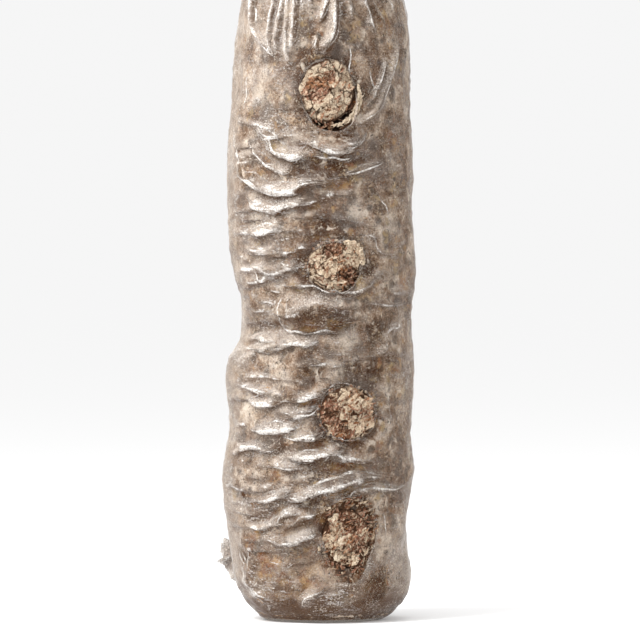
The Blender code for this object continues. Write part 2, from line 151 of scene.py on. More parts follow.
# Creases where the film is drawn in to the block, seen from the front: points, depth, half width
CREASES = [
    ([(0, 234), (10, 236), (20, 236)], 1.6, 3.6),
    ([(-15, 223), (0, 226), (8, 231)], 1.2, 3.2),
    ([(-8, 206), (0, 207), (12, 207)], 1.4, 2.4),
    ([(-33, 159), (-22, 160), (-10, 162), (0, 161), (10, 161), (20, 163)], 1.0, 4.6),
    ([(-13, 118), (-4, 120), (5, 123)], 1.2, 3.0),
    ([(-30, 91), (-20, 94), (-10, 93), (0, 95), (8, 98)], 1.6, 3.4),
    ([(-5, 85), (5, 85), (15, 86), (25, 84), (36, 86)], 1.4, 3.4),
    ([(10, 71), (20, 74), (34, 76)], 1.4, 2.0),
    ([(-38, 53), (-30, 57), (-20, 62), (-12, 65)], 1.8, 2.8),
    ([(-14, 50), (-5, 54), (0, 57)], 1.2, 2.8),
    ([(-47, 150.5), (-40, 149.5), (-33, 152)], 1.6, 2.6),
]

# Pleats that run down from the top gather: points of (x, height), how far out, half width
PLEATS_DOWN = [
    ([(-41, 354), (-40, 345), (-39, 325), (-37, 319), (-30, 310), (-23, 303)], 2.2, 3.6),
    ([(-27, 352), (-27, 335), (-28.5, 325), (-28.5, 313), (-25, 306)], 1.9, 3.0),
    ([(-19, 354), (-20, 345), (-23.5, 325), (-24.5, 312), (-23, 305)], 1.9, 2.8),
    ([(-17, 354), (-17.5, 345), (-18.5, 325), (-18.5, 312), (-17, 304), (-14, 299)], 2.2, 3.2),
    ([(-13, 354), (-14.5, 345), (-15, 320), (-15.5, 305)], 2.4, 4.4),
    ([(9, 354), (8.5, 345), (8, 330), (7, 318), (3, 311), (1, 308)], 3.0, 4.2),
    ([(6, 350), (5, 340), (2, 330), (-1, 323)], 1.8, 3.0),
    ([(14, 352), (15, 340), (17, 332), (17.5, 324)], 2.0, 3.0),
    ([(22, 352), (24, 340), (28, 328), (29, 322), (32, 318)], 1.8, 3.2),
    ([(-1.5, 316), (-2.5, 311), (-1, 307)], 1.2, 2.4),
    ([(20, 330), (22, 318), (23, 305)], 0.8, 3.6),
    ([(37, 350), (39, 340), (43, 330)], 1.4, 3.0),
    ([(30, 342), (33, 330), (38, 324)], 1.0, 2.6),
    ([(44, 313), (41, 305), (38, 295), (33, 283), (28, 274), (21, 268)], 1.9, 3.0),
    ([(37, 305), (34, 296), (30, 285), (25, 277)], 1.4, 2.4),
    ([(-42, 50), (-40, 40), (-38, 33), (-40, 25), (-36, 15), (-26, 9)], 1.5, 2.6),
    ([(-45, 40), (-42, 28), (-39, 18), (-33, 10)], 1.3, 2.4),
    ([(-47, 55), (-45, 45), (-43, 35), (-43, 25), (-40, 15), (-32, 8)], 1.3, 2.4),
]

# Folds across the front, written the same way
FOLDS_ACROSS = [
    ([(-47, 270), (-46, 262), (-42, 252), (-40, 243), (-36, 238), (-28, 234), (-22, 233),
      (-14, 234), (-8, 238), (0, 239), (5, 238)], 3.2, 5.0),
    ([(-33, 270), (-30, 265), (-26, 257), (-20, 253), (-13, 252), (-8, 256)], 3.8, 5.6),
    ([(-38, 262), (-34, 255), (-30, 249), (-25, 246), (-20, 243), (-14, 245)], 2.8, 4.2),
    ([(-39, 231), (-34, 226), (-27, 223), (-20, 224), (-12, 227), (-5, 229)], 2.6, 4.2),
    ([(14, 241), (25, 245), (34, 250)], 1.4, 3.0),
    ([(-37, 210), (-30, 211), (-24, 214), (-19, 217)], 2.8, 3.6),
    ([(-40, 201), (-30, 201), (-24, 202), (-21, 204)], 2.0, 2.6),
    ([(-33, 198), (-25, 199), (-20, 201)], 1.5, 2.2),
    ([(-22, 199), (-14, 201)], 1.5, 2.4),
    ([(-36, 191), (-25, 191), (-18, 191), (-12, 194)], 2.8, 3.6),
    ([(-36, 191), (-32, 185), (-27, 187), (-18, 189)], 2.0, 3.0),
    ([(-40, 184), (-32, 186)], 1.2, 2.6),
    ([(-20, 181), (-14, 183), (-5, 183), (3, 179), (8, 179), (16, 178), (22, 180), (28, 186),
      (34, 191)], 2.8, 3.8),
    ([(-22, 166), (-19, 159.5), (-10, 158.4), (0, 157.8), (9, 158.4)], 2.4, 2.4),
    ([(-40, 155), (-32, 153.5), (-25, 152.5)], 1.8, 3.0),
    ([(-42, 148.5), (-35, 148), (-28, 150), (-20, 150), (-14, 153), (-8, 151), (-3, 153),
      (-1, 156)], 2.6, 3.2),
    ([(-35, 146), (-25, 147), (-18, 148.5)], 1.6, 2.4),
    ([(24, 171), (28, 173), (36, 172), (47, 172)], 0.9, 1.8),
    ([(40, 171), (43, 168), (42, 162), (38, 157), (36, 150), (33, 146), (24, 145)], 1.5, 2.4),
    ([(-40, 128), (-33, 125), (-25, 126)], 1.8, 3.6),
    ([(-38, 121), (-30, 119), (-20, 121)], 3.2, 5.0),
    ([(-15, 121), (-8, 122), (-2, 125), (4, 128), (12, 130), (20, 129)], 2.2, 3.0),
    ([(-20, 111), (-12, 112), (-5, 114), (0, 117)], 2.2, 3.2),
    ([(-35, 106), (-28, 105), (-20, 105), (-12, 108)], 3.2, 4.6),
    ([(-20, 101), (-10, 101), (-3, 101), (3, 105)], 2.4, 3.4),
    ([(-43, 90), (-40, 94), (-35, 96), (-28, 94), (-24, 96)], 1.9, 2.8),
    ([(-20, 91), (-10, 90), (-3, 90.5), (3, 93), (8, 94), (14, 96)], 2.8, 3.4),
    ([(-23, 87), (-18, 85), (-13, 84)], 2.4, 4.4),
    ([(0, 88), (10, 90), (20, 89), (28, 88)], 1.8, 3.0),
    ([(-20, 68), (-10, 69), (-3, 71), (3, 74), (12, 76.5), (20, 79), (34, 79)], 4.0, 4.2),
    ([(-5, 70), (10, 69), (25, 72), (45, 74)], 2.2, 2.8),
    ([(-33, 65), (-25, 68), (-18, 72), (-13, 75)], 2.4, 3.4),
    ([(-25, 52), (-20, 59), (-11, 62)], 3.2, 4.6),
    ([(-25, 45), (-20, 44), (-12, 45), (-5, 49), (-2, 51)], 2.8, 3.8),
    ([(-36, 49), (-30, 53), (-27, 51)], 1.8, 3.0),
    ([(-20, 52), (-10, 57), (0, 60)], 2.0, 3.4),
    ([(-10, 8), (-8, 12), (-3, 16), (2, 20)], 2.6, 4.6),
    ([(-7, 263), (0, 257), (9, 255), (18, 258), (24, 266)], 2.6, 2.8),
    ([(-2, 253), (8, 250), (18, 252)], 1.6, 2.6),
]

# Sharp edges of the film where it doesn't stand out, drawn as painted highlight strips: points of
# (x, height), strength, half width
FINE_EDGES = [
    ([(-18.5, 179), (-21.2, 174), (-22, 166), (-20.6, 160), (-17.5, 157)], 1.3, 1.0),
    ([(-17, 178), (-18.6, 172), (-18.0, 166)], 1.0, 1.0),
    ([(16.5, 313), (17.4, 302), (18, 289)], 1.0, 1.0),
    ([(-31.5, 167.5), (-27, 169), (-22.5, 170.5)], 1.2, 1.0),
    ([(27, 300), (28.5, 291), (29, 283)], 1.0, 1.0),
    ([(-43, 301), (-42, 288), (-43, 275)], 1.0, 1.0),
    ([(-28, 33), (-20, 30), (-13, 33)], 1.0, 1.0),
    ([(30, 232), (35, 226), (38, 215)], 1.0, 1.0),
    ([(22, 210), (29, 206), (33, 198)], 1.2, 1.0),
    ([(33, 128), (37, 118), (38, 108)], 1.0, 1.0),
    ([(34, 62), (36, 52), (35, 40)], 1.0, 1.0),
]
CHIEF_FOLD = 1.3  # a fold that stands out more has a painted highlight on its crest
FOLD_BOLD, PLEAT_BOLD = 1.2, 1.7  # how much higher folds and pleats are built than listed
FOLD_LEAN = 0.42  # how much wider a fold across is above its crest, and narrower below it
SAG = 0.42  # how far a fold across droops, as a share of its height

# Rolls of film and sawdust, rounded like a finger, written the same way
ROLLS = [
    ([(-17, 168.5), (-8, 168), (4, 169), (16, 171), (26, 176)], 4.6, 9.4),
]

# The film's fine crumples, in millimetres
CRUMPLE_HEIGHT = 1.5
CRUMPLE_SIZE = 8.0

# Folds round the sides and the back, placed by rule
BACK_FOLDS = 64
BACK_LOWEST, BACK_SPAN = 22, 292  # heights that they cover
BACK_FROM, BACK_ROUND = 76, 208  # degrees round from the front, and how many they cover
GOLDEN = 0.618  # share of the way round from each to the next, so that none line up
BACK_FOLD_LENGTH = (16.0, 60.0)
BACK_FOLD_HEIGHT = (1.0, 2.8)
SMALL_FOLDS = 760
SMALL_FOLD_PLACE = (6, 345)  # heights
SMALL_FOLD_LENGTH = (5.0, 22.0)
SMALL_FOLD_HEIGHT = (0.3, 1.5)
CALM_FROM = math.radians(26)  # the film lies smoother from here round to CALM_TO
CALM_TO = math.radians(75)

# Gathers
TOP_PLEATS = 13
PLEAT_FOOT = 318.0
SIDE_GATHER_ANGLE = math.radians(-138)
SIDE_GATHER_HEIGHT = 40.0
SIDE_GATHER_DROOP = math.radians(30)
SIDE_TIE_REACH = 9.0
TIE_HALF = 2.5
GATHER_COLUMNS, GATHER_ROWS = 96, 14
TIED_RADIUS = 0.82 * NECK_RADIUS  # of the film under the twine

TWINE = 0.9  # radius
TWINE_SIDES = 15
TWINE_LAY = 4.4  # length in which its plies turn once
KNOT_TWINE = 0.9 * TWINE  # drawn tighter in the knot
TIE_TURNS = 3
TIE_CORNERS, HITCH_CORNERS = 260, 70  # along the twine of each


# ---------------------------------------------------------------- numbers
def eased(t):
    """0 to 1, slow at both ends."""
    t = np.clip(t, 0, 1)
    return t * t * (3 - 2 * t)


def between(low, high, value):
    """0 below low, 1 above high, eased between."""
    return eased((np.asarray(value, float) - low) / (high - low))


def curve_through(stations, at):
    """A smooth curve through (position, value) stations, read at each position."""
    places, values = np.array(stations, float).T
    slopes = np.gradient(values, places)
    at = np.clip(at, places[0], places[-1])
    i = np.clip(np.searchsorted(places, at) - 1, 0, len(places) - 2)
    span = places[i + 1] - places[i]
    t = (at - places[i]) / span
    return (
        (2 * t**3 - 3 * t**2 + 1) * values[i]
        + (t**3 - 2 * t**2 + t) * span * slopes[i]
        + (3 * t**2 - 2 * t**3) * values[i + 1]
        + (t**3 - t**2) * span * slopes[i + 1]
    )


def round_curve(stations, bearing):
    """A closed smooth curve through (degrees, value) stations, read at bearings in radians."""
    ahead = [(d + 360, v) for d, v in stations[:2]]
    behind = [(d - 360, v) for d, v in stations[-2:]]
    return curve_through(behind + stations + ahead, np.degrees(bearing) % 360)


def smooth_line(points, per_leg=5):
    points = np.array(points, float)
    knots = np.arange(len(points), dtype=float)
    fine = np.linspace(0, len(points) - 1, (len(points) - 1) * per_leg + 1)
    columns = [curve_through(list(zip(knots, column)), fine) for column in points.T]
    return np.stack(columns, axis=1)


class Grain:
    """Smooth noise between -1 and 1, the same on each run."""

    def __init__(self, seed):
        chance = np.random.default_rng(seed)
        self.order = np.tile(chance.permutation(256), 2)
        self.value = chance.uniform(-1, 1, 256)

    def at(self, x, y, z=0.0, size=1.0):
        x, y, z = np.broadcast_arrays(x, y, z)
        place = np.stack([x, y, z]) / size
        cell = np.floor(place).astype(int)
        t = place - cell
        t = t * t * (3 - 2 * t)
        total = 0.0
        for i in (0, 1):
            for j in (0, 1):
                for k in (0, 1):
                    spot = self.order[(cell[2] + k) & 255]
                    spot = self.order[(cell[1] + j + spot) & 255]
                    spot = self.order[(cell[0] + i + spot) & 255]
                    share = abs(1 - i - t[0]) * abs(1 - j - t[1]) * abs(1 - k - t[2])
                    total = total + share * self.value[spot]
        return total

    def rough(self, x, y, z=0.0, size=1.0, octaves=3):
        """Noise with finer and fainter noise on it."""
        total = 0.0
        for n in range(octaves):
            total = total + self.at(x, y, z, size / 2**n) / 2**n
        return total


# ---------------------------------------------------------------- the log's shape
def end_share(height):
    """How much of the full radius is left at each height, where both ends round over."""
    low = np.clip(1 - height / CORNER, 0, 1)
    bottom = 1 - (1 - BASE_SHARE) * low**CORNER_POWER
    high = np.clip((height - SHOULDER_FOOT) / (CROWN - SHOULDER_FOOT), 0, 1)
    top = (1 - high**SHOULDER_POWER) ** (1 / SHOULDER_POWER)
    return bottom * top


def from_line(girth, height, line):
    """Distance from a line, positive on its left, and how far along it the nearest point is."""
    nearest = np.full(girth.shape, 1e9)
    signed = np.zeros(girth.shape)
    along = np.zeros(girth.shape)
    legs = len(line) - 1
    for i in range(legs):
        step = line[i + 1] - line[i]
        across, up = girth - line[i, 0], height - line[i, 1]
        t = np.clip((across * step[0] + up * step[1]) / (step @ step), 0, 1)
        away = np.hypot(across - t * step[0], up - t * step[1])
        closer = away < nearest
        nearest = np.where(closer, away, nearest)
        signed = np.where(closer, np.sign(step[0] * up - step[1] * across) * away, signed)
        along = np.where(closer, (i + t) / legs, along)
    return signed, along


def girth_at(x):
    """How far round the side a place seen from the front at x lies."""
    return RADIUS * math.asin(max(-0.98, min(0.98, x / RADIUS)))


def girth_line(points):
    """A smooth line on the unrolled side through points seen from the front."""
    return smooth_line([(girth_at(x), z) for x, z in points])


def reach(angle, height):
    side = np.where(
        np.sin(angle) > 0,
        curve_through(RIGHT_REACH, height),
        curve_through(LEFT_REACH, height),
    )
    face = np.where(
        np.cos(angle) > 0,
        curve_through(FRONT_REACH, height),
        curve_through(BACK_REACH, height),
    )
    return side * np.sin(angle) ** 2 + face * np.cos(angle) ** 2


def core_radius(angle, height):
    """Radius of the shape that the block and the film share, before the ends round over."""
    radius = (
        reach(angle, height)
        + 0.5 * np.sin(3 * angle + height / 21.0)
        + 0.4 * np.sin(5 * angle - height / 13.0 + 1.0)
        + 0.3 * np.sin(2 * angle + height / 9.0 + 2.0)
    )
    for points, depth, half_width in HOLLOWS:
        away, along = from_line(RADIUS * angle, height, girth_line(points))
        fade = eased(np.minimum(along, 1 - along) / 0.16 + 0.25)
        radius = radius + depth * fade * np.clip(1 - np.abs(away) / half_width, 0, 1) ** 1.2
    return radius


def placed(angle, radius, height):
    return np.stack([radius * np.sin(angle), -radius * np.cos(angle), height], axis=-1)


def outwards(angle):
    """Unit steps straight out of the log."""
    return placed(angle, 1.0, 0 * angle)


def plug_polar(plug, girth, height):
    """Distance from a plug's middle over the side, and the bearing there."""
    across = girth - girth_at(plug["x"])
    up = height - plug["height"]
    return np.hypot(across, up), np.arctan2(up, across)


def plug_reach(plug, bearing):
    """From a plug's middle to its own edge."""
    a, b = plug["half_width"], plug["half_height"]
    return a * b / np.hypot(b * np.cos(bearing), a * np.sin(bearing))


# ---------------------------------------------------------------- meshes
def tube_quads(rows, columns):
    """Faces of a tube whose rows run down and whose columns run round it, facing out."""
    start = np.arange(rows - 1)[:, None] * columns
    here = np.arange(columns)[None, :]
    ahead = (here + 1) % columns
    return np.stack(
        [start + here, start + columns + here, start + columns + ahead, start + ahead],
        axis=-1,
    ).reshape(-1, 4)


def fan(centre, ring):
    """Triangles from one corner to a ring of them."""
    ring = np.asarray(ring)
    return [[centre, a, b] for a, b in zip(ring, np.roll(ring, -1))]


def add_tube(heap, rows, faced_in=False, **paint):
    """A tube through rows of points. Paint given for one row is used on all of them."""
    count = len(rows[0])
    faces = tube_quads(len(rows), count)
    for name, value in paint.items():
        if np.size(value) == count:
            paint[name] = np.tile(value, len(rows))
    heap.add(np.concatenate(rows), faces[:, ::-1] if faced_in else faces, **paint)


class Heap:
    """Shapes gathered into one mesh, with values painted on their corners."""

    def __init__(self):
        self.points, self.faces, self.paints, self.count = [], [], {}, 0

    def add(self, points, faces, **paint):
        """paint holds one value, or one for each point."""
        points = np.asarray(points, float).reshape(-1, 3)
        self.faces.extend([[int(v) + self.count for v in face] for face in faces])
        for name, value in paint.items():
            whole = np.broadcast_to(np.asarray(value, float).ravel(), len(points))
            self.paints.setdefault(name, []).append((self.count, whole))
        self.points.append(points)
        self.count += len(points)

    def piece(self, name, look, smooth=True):
        mesh = bpy.data.meshes.new(name)
        corners = np.concatenate(self.points) * MM
        used = np.zeros(self.count, bool)
        used[[v for face in self.faces for v in face]] = True
        place = np.cumsum(used) - 1
        faces = [[int(place[v]) for v in face] for face in self.faces]
        mesh.from_pydata(corners[used].tolist(), [], faces)
        for paint, runs in self.paints.items():
            values = np.zeros(self.count, np.float32)
            for start, run in runs:
                values[start : start + len(run)] = run
            mesh.attributes.new(paint, "FLOAT", "POINT").data.foreach_set("value", values[used])
        mesh.validate()
        mesh.update()
        if smooth:
            mesh.shade_smooth()
        mesh.materials.append(look)
        made = bpy.data.objects.new(name, mesh)
        bpy.context.scene.collection.objects.link(made)
        return made


def with_tail(paint, count, value):
    """Grids of paint laid flat, with one value for the count corners after them."""
    tail = np.full(count, value)
    return {name: np.concatenate([grid.ravel(), tail]) for name, grid in paint.items()}


# ---------------------------------------------------------------- shader maths
def maths(operation):
    """A method that feeds a value and another one to a maths node."""

    def method(self, other):
        return self.look.node("ShaderNodeMath", {"operation": operation}, {0: self, 1: other})

    return method


class Value:
    """A socket of a material, so that shader maths reads as Python."""

    def __init__(self, look, socket):
        self.look, self.socket = look, socket

    __add__ = __radd__ = maths("ADD")
    __sub__ = maths("SUBTRACT")
    __mul__ = __rmul__ = maths("MULTIPLY")
    __pow__ = maths("POWER")
    most = maths("MAXIMUM")
    least = maths("MINIMUM")

    def __rsub__(self, other):
        return self.look.node("ShaderNodeMath", {"operation": "SUBTRACT"}, {0: other, 1: self})

    def size(self):
        """Its distance from nothing."""
        return self.look.node("ShaderNodeMath", {"operation": "ABSOLUTE"}, {0: self, 1: 0.0})

    def eased(self, low, high):
        """0 below low, 1 above high, eased between."""
        return self.look.node(
            "ShaderNodeMapRange",
            {"interpolation_type": "SMOOTHSTEP"},
            {"Value": self, "From Min": low, "From Max": high},
        )


class Look:
    """A material whose Principled shader is fed by expressions."""

    def __init__(self, name, **plain):
        self.material = bpy.data.materials.new(name)
        self.material.use_nodes = True
        self.tree = self.material.node_tree
        self.shader = self.tree.nodes["Principled BSDF"]
        self.set(**plain)
        place = self.node("ShaderNodeTexCoord", out="Object")
        self.place = self.vector("SCALE", {0: place, "Scale": 1 / MM})  # in millimetres

    def node(self, kind, settings=None, sockets=None, out=0):
        """Any node: its settings come first, then the values or links of its sockets."""
        made = self.tree.nodes.new(kind)
        for name, value in (settings or {}).items():
            if name == "stops":
                self._stops(made.color_ramp.elements, value)
            else:
                setattr(made, name, value)
        for name, value in (sockets or {}).items():
            self.feed(made.inputs[name], value)
        return Value(self, made.outputs[out])

    def feed(self, socket, value):
        if isinstance(value, Value):
            self.tree.links.new(value.socket, socket)
        elif isinstance(value, (tuple, list)) and len(value) == 3 and socket.type == "RGBA":
            socket.default_value = (*value, 1)
        else:
            socket.default_value = value

    def set(self, **sockets):
        for name, value in sockets.items():
            self.feed(self.shader.inputs[name.replace("_", " ")], value)

    @staticmethod
    def _stops(elements, stops):
        while len(elements) < len(stops):
            elements.new(0.5)
        for element, (position, colour) in zip(elements, stops):
            element.position = position
            element.color = (*colour, 1)

    def painted(self, name):
        """A value painted on the mesh's corners."""
        return self.node("ShaderNodeAttribute", {"attribute_name": name}, out="Fac")

    def mix(self, first, second, share):
        """One colour turning into another."""
        return self.node(
            "ShaderNodeMix", {"data_type": "RGBA"}, {0: share, 6: first, 7: second}, out=2
        )

    def ramp(self, share, *stops):
        """The colours of (position, colour) stops, read at a share."""
        return self.node("ShaderNodeValToRGB", {"stops": stops}, {"Fac": share}, out="Color")

    def vector(self, operation, sockets):
        return self.node("ShaderNodeVectorMath", {"operation": operation}, sockets)

    def stretched(self, x, y, z):
        """The place in millimetres, with each axis scaled."""
        return self.vector("MULTIPLY", {0: self.place, 1: (x, y, z)})

    def noise(self, size, detail=3.0, roughness=0.55, warp=0.0, at=None):
        """Cloudy noise from 0 to 1, with clouds about size millimetres across."""
        sockets = {"Vector": at or self.place, "Scale": 1.0 / size, "Detail": detail}
        sockets |= {"Roughness": roughness, "Distortion": warp}
        return self.node("ShaderNodeTexNoise", {}, sockets, out="Fac")

    def cells(self, size, out="Distance"):
        """Cells about size millimetres across: the distance in them, or a colour for each."""
        sockets = {"Vector": self.place, "Scale": 1.0 / size}
        return self.node("ShaderNodeTexVoronoi", {}, sockets, out=out)

    def bump(self, height, distance, strength):
        """height is in units of distance, which is in metres."""
        sockets = {"Height": height, "Distance": distance, "Strength": strength}
        return self.node("ShaderNodeBump", {}, sockets, out="Normal")


# ---------------------------------------------------------------- finishes
def sawdust_look():
    """Damp sawdust, part brown and part grown over by white mycelium, with painted shade and light.
    """
    look = Look("grown_sawdust", Roughness=0.9, Specular_IOR_Level=0.1)
    cloud = look.noise(15, 2, 0.5)
    clump = look.noise(6.5, 3, 0.5, 0.3)
    fluff = look.noise(1.6, 3, 0.6)
    grit = look.noise(0.75, 2, 0.6)
    spread = cloud * 0.80 + clump * 0.55 + fluff * 0.26 + grit * 0.50 - 0.57
    # brown adds painted shade in creases and round the holes; left adds painted light on the front
    # left
    spread = spread - look.painted("brown") * 0.26 + look.painted("left") * 0.05 - 0.005
    colour = look.ramp(
        spread,
        (0.31, (0.044, 0.018, 0.007)),
        (0.425, (0.118, 0.063, 0.036)),
        (0.51, (0.225, 0.150, 0.101)),
        (0.59, (0.365, 0.282, 0.213)),
        (0.71, (0.610, 0.520, 0.430)),
    )
    pale = look.noise(5.5, 4, 0.6, 0.6).eased(0.53, 0.66) * cloud.eased(0.38, 0.58)
    pale = pale.most(look.painted("pale") * (0.3 + grit * 0.9))
    colour = look.mix(colour, (0.660, 0.580, 0.485), pale * 0.8)
    grains = look.cells(1.1, out="Color")
    tone = look.node("ShaderNodeSeparateColor", {}, {"Color": grains}, out="Red")
    wood = look.ramp(
        tone,
        (0.0, (0.060, 0.036, 0.023)),
        (0.35, (0.20, 0.115, 0.062)),
        (0.6, (0.38, 0.26, 0.155)),
        (0.8, (0.56, 0.45, 0.31)),
        (1.0, (0.13, 0.070, 0.042)),
    )
    bare = look.noise(12, 4, 0.6).eased(0.52, 0.62) * fluff.eased(0.42, 0.56)
    colour = look.mix(colour, wood, bare * 0.6)
    grey = look.noise(8.0, 1.5, 0.5).eased(0.56, 0.70).most(look.painted("blot"))
    colour = look.mix(colour, (0.070, 0.050, 0.040), (grey * (0.5 + grit * 0.9)).least(0.95))
    spots = look.cells(10).eased(0.26, 0.10) * look.noise(20, 2).eased(0.46, 0.55)
    colour = look.mix(colour, (0.055, 0.041, 0.034), spots * 0.75)
    yellow = look.noise(16, 3, 0.6).eased(0.60, 0.69) * clump.eased(0.36, 0.54)
    colour = look.mix(colour, (0.48, 0.33, 0.14), yellow * 0.6)
    stain = clump.eased(0.36, 0.60)
    rust = look.painted("rust").most(look.noise(11, 4, 0.6, 0.4).eased(0.58, 0.68) * 0.85)
    deeper = look.noise(5, 3).eased(0.42, 0.56)
    ochre = look.mix((0.340, 0.195, 0.075), (0.185, 0.068, 0.022), deeper)
    colour = look.mix(colour, ochre, (rust * (0.45 + stain * 0.6)).least(0.9))
    flecks = look.noise(0.9, 3, 0.6).eased(0.60, 0.67) * look.noise(9, 3).eased(0.40, 0.54)
    colour = look.mix(colour, (0.66, 0.58, 0.46), flecks * 0.65)
    specks = look.noise(1.5, 3, 0.65).eased(0.58, 0.64) * look.noise(10, 3).eased(0.40, 0.52)
    colour = look.mix(colour, (0.025, 0.015, 0.010), specks * 0.95)
    # Painted shade: greyer on the left flank, darker on slopes turned from the light, darkest at
    # sockets
    colour = look.mix(colour, (0.255, 0.215, 0.180), look.painted("far") * 0.6)
    colour = look.mix(colour, (0.060, 0.034, 0.020), look.painted("valley") * 0.35)
    colour = look.mix(colour, (0.030, 0.018, 0.013), look.painted("shade"))
    look.set(Base_Color=colour)
    grain = tone * 0.35 + fluff * 1.2 + clump * 1.8
    look.set(Normal=look.bump(grain, 0.0010, 0.8))
    return look.material


def film_look():
    """Clear film, milky where it stands off the block, with painted light, shade and white
    highlights.
    """
    look = Look("clear_film", IOR=1.52, Specular_IOR_Level=0.21)
    # crest and gleam carry painted highlights, lit painted light, shaded painted shade
    lift, mist, crest, dark = (look.painted(name) for name in ("lift", "mist", "crest", "dark"))
    lit, gleam, shaded = (look.painted(name) for name in ("lit", "gleam", "shaded"))
    smear = look.noise(10, 3, 0.55, 0.3)
    facing = look.node("ShaderNodeLayerWeight", {}, {"Blend": 0.5}, out="Facing")
    broken = look.noise(6, 3, 0.6).eased(0.30, 0.62)
    grit = look.noise(0.8, 2, 0.65).eased(0.22, 0.78)
    # Painted highlights: white on the crests, in thin wisps, and in patches where gleam is painted
    line = (crest * (0.45 + broken * 0.65)).eased(0.25, 0.95) * 0.75
    wisp = look.noise(5.5, 4, 0.6, 0.5, at=look.stretched(0.55, 0.55, 1.7))
    wisp = (wisp - 0.5).size().eased(0.024, 0.0) * look.noise(17, 2).eased(0.44, 0.58)
    patch = look.noise(5, 4, 0.66, 0.8, at=look.stretched(0.5, 0.5, 1.7))
    shine = (gleam * 0.50 + patch - 0.5).eased(0.22, 0.60)
    white = line.most(wisp * (1 - mist * 0.6) * 0.6).most(shine * 0.66) * (0.30 + grit)
    # The veil thickens with the painted light (lit) and the painted shade (shaded)
    veil = 0.02 + smear * 0.05 + lift * 0.08 + lit * 0.42 + mist * 0.13 + shaded * 0.76
    veil = veil * (1 - dark * 0.65) * (0.25 + grit * 1.5)
    edge = facing**2.5
    fleck = look.noise(1.1, 3, 0.7).eased(0.57, 0.62) * look.noise(12, 3).eased(0.40, 0.56)
    speck = look.noise(0.95, 3, 0.7, 0.4).eased(0.58, 0.63) * look.noise(6, 3).eased(0.42, 0.54)
    cracked = look.noise(5, 4, 0.65, 0.8, at=look.stretched(1.0, 1.0, 1.3))
    cracked = (cracked - 0.5).size().eased(0.010, 0.0) * look.noise(13, 2).eased(0.50, 0.60)
    marks = cracked * 0.45 + fleck * 0.20 + speck * 0.45
    look.set(Alpha=(veil + edge * 0.50 + white * 0.50 + marks).least(0.95))
    tint = look.ramp(
        smear * 0.4 + look.noise(1.5, 4, 0.75) * 0.6,
        (0.36, (0.090, 0.052, 0.030)),
        (0.50, (0.205, 0.140, 0.095)),
        (0.64, (0.380, 0.295, 0.222)),
    )
    # Paler where it stands off, at grazing angles and where light is painted; dark brown where
    # shade is
    tint = look.mix(tint, (0.455, 0.390, 0.332), (lift * 0.3 + lit * 0.9 + edge * 0.8).least(1.0))
    cool = look.noise(13, 3, 0.6).eased(0.42, 0.60)
    tint = look.mix(tint, (0.350, 0.335, 0.325), cool * 0.32)
    tint = look.mix(tint, (0.066, 0.029, 0.011), shaded)
    tint = look.mix(tint, (0.62, 0.55, 0.47), fleck * 0.7)
    tint = look.mix(tint, (0.040, 0.017, 0.008), (cracked * 0.85).most(speck * 0.9))
    # The white of the painted highlights
    look.set(Base_Color=look.mix(tint, (0.765, 0.745, 0.715), white))
    look.set(Roughness=0.24 + look.noise(5, 2) * 0.26)
    crumple = look.noise(5.0, 3, 0.6, 0.5, at=look.stretched(0.7, 0.7, 1.8))
    look.set(Normal=look.bump(crumple + wisp * 0.12, 0.0012, 0.6))
    return look.material


def spawn_look(number, grey):
    """Crusted cream mycelium with brown chips, dark in its cracks, greyed by a share."""
    look = Look(f"spawn_crust_{number}", Roughness=0.9, Specular_IOR_Level=0.2)
    tone, chip, deep = (look.painted(name) for name in ("tone", "chip", "deep"))
    fine = look.noise(1.5, 4, 0.72)
    grit = look.noise(0.8, 2, 0.65).eased(0.22, 0.78)
    crust = look.ramp(
        fine * 0.65 + tone * 0.17 + grit * 0.18,
        (0.26, (0.095, 0.052, 0.030)),
        (0.40, (0.280, 0.185, 0.115)),
        (0.54, (0.500, 0.385, 0.270)),
        (0.72, (0.790, 0.690, 0.550)),
    )
    wood = look.ramp(
        tone * 0.42 + fine * 0.42 + grit * 0.16,
        (0.25, (0.056, 0.022, 0.009)),
        (0.42, (0.132, 0.054, 0.025)),
        (0.58, (0.240, 0.102, 0.064)),
        (0.78, (0.420, 0.270, 0.165)),
    )
    colour = look.mix(crust, wood, chip)
    warm = look.noise(8, 3, 0.6).eased(0.52, 0.62) * (0.2 + chip * 0.4 + fine * 0.4)
    colour = look.mix(colour, (0.290, 0.120, 0.045), warm * 0.7)
    dust = look.noise(1.3, 4, 0.7).eased(0.50, 0.59)
    colour = look.mix(colour, (0.60, 0.49, 0.355), dust * 0.50 * (1 - deep))
    colour = look.mix(colour, (0.330, 0.290, 0.225), (1 - chip * 0.85) * grey)
    pits = look.noise(1.1, 3, 0.7, 0.3).eased(0.56, 0.62)
    colour = look.mix(colour, (0.044, 0.018, 0.007), (deep + pits * 0.80).least(1.0))
    look.set(Base_Color=colour)
    look.set(Normal=look.bump(fine + look.noise(0.6, 2), 0.0007, 0.9))
    return look.material


def twine_look():
    """Pale spun twine."""
    look = Look("spun_twine", Roughness=0.8)
    fibres = look.noise(0.5, 4, 0.7, 0.5)
    colour = look.ramp(
        fibres, (0.3, (0.46, 0.41, 0.33)), (0.5, (0.68, 0.63, 0.53)), (0.7, (0.80, 0.76, 0.67))
    )
    look.set(Base_Color=colour)
    look.set(Normal=look.bump(fibres, 0.0004, 0.8))
    return look.material


# ---------------------------------------------------------------- folds
def drawn_forward(columns):
    """Even angles round the log, drawn a little together at its front."""
    even = np.linspace(-math.pi, math.pi, columns, endpoint=False)
    return even - FRONT_FINER * np.sin(even)


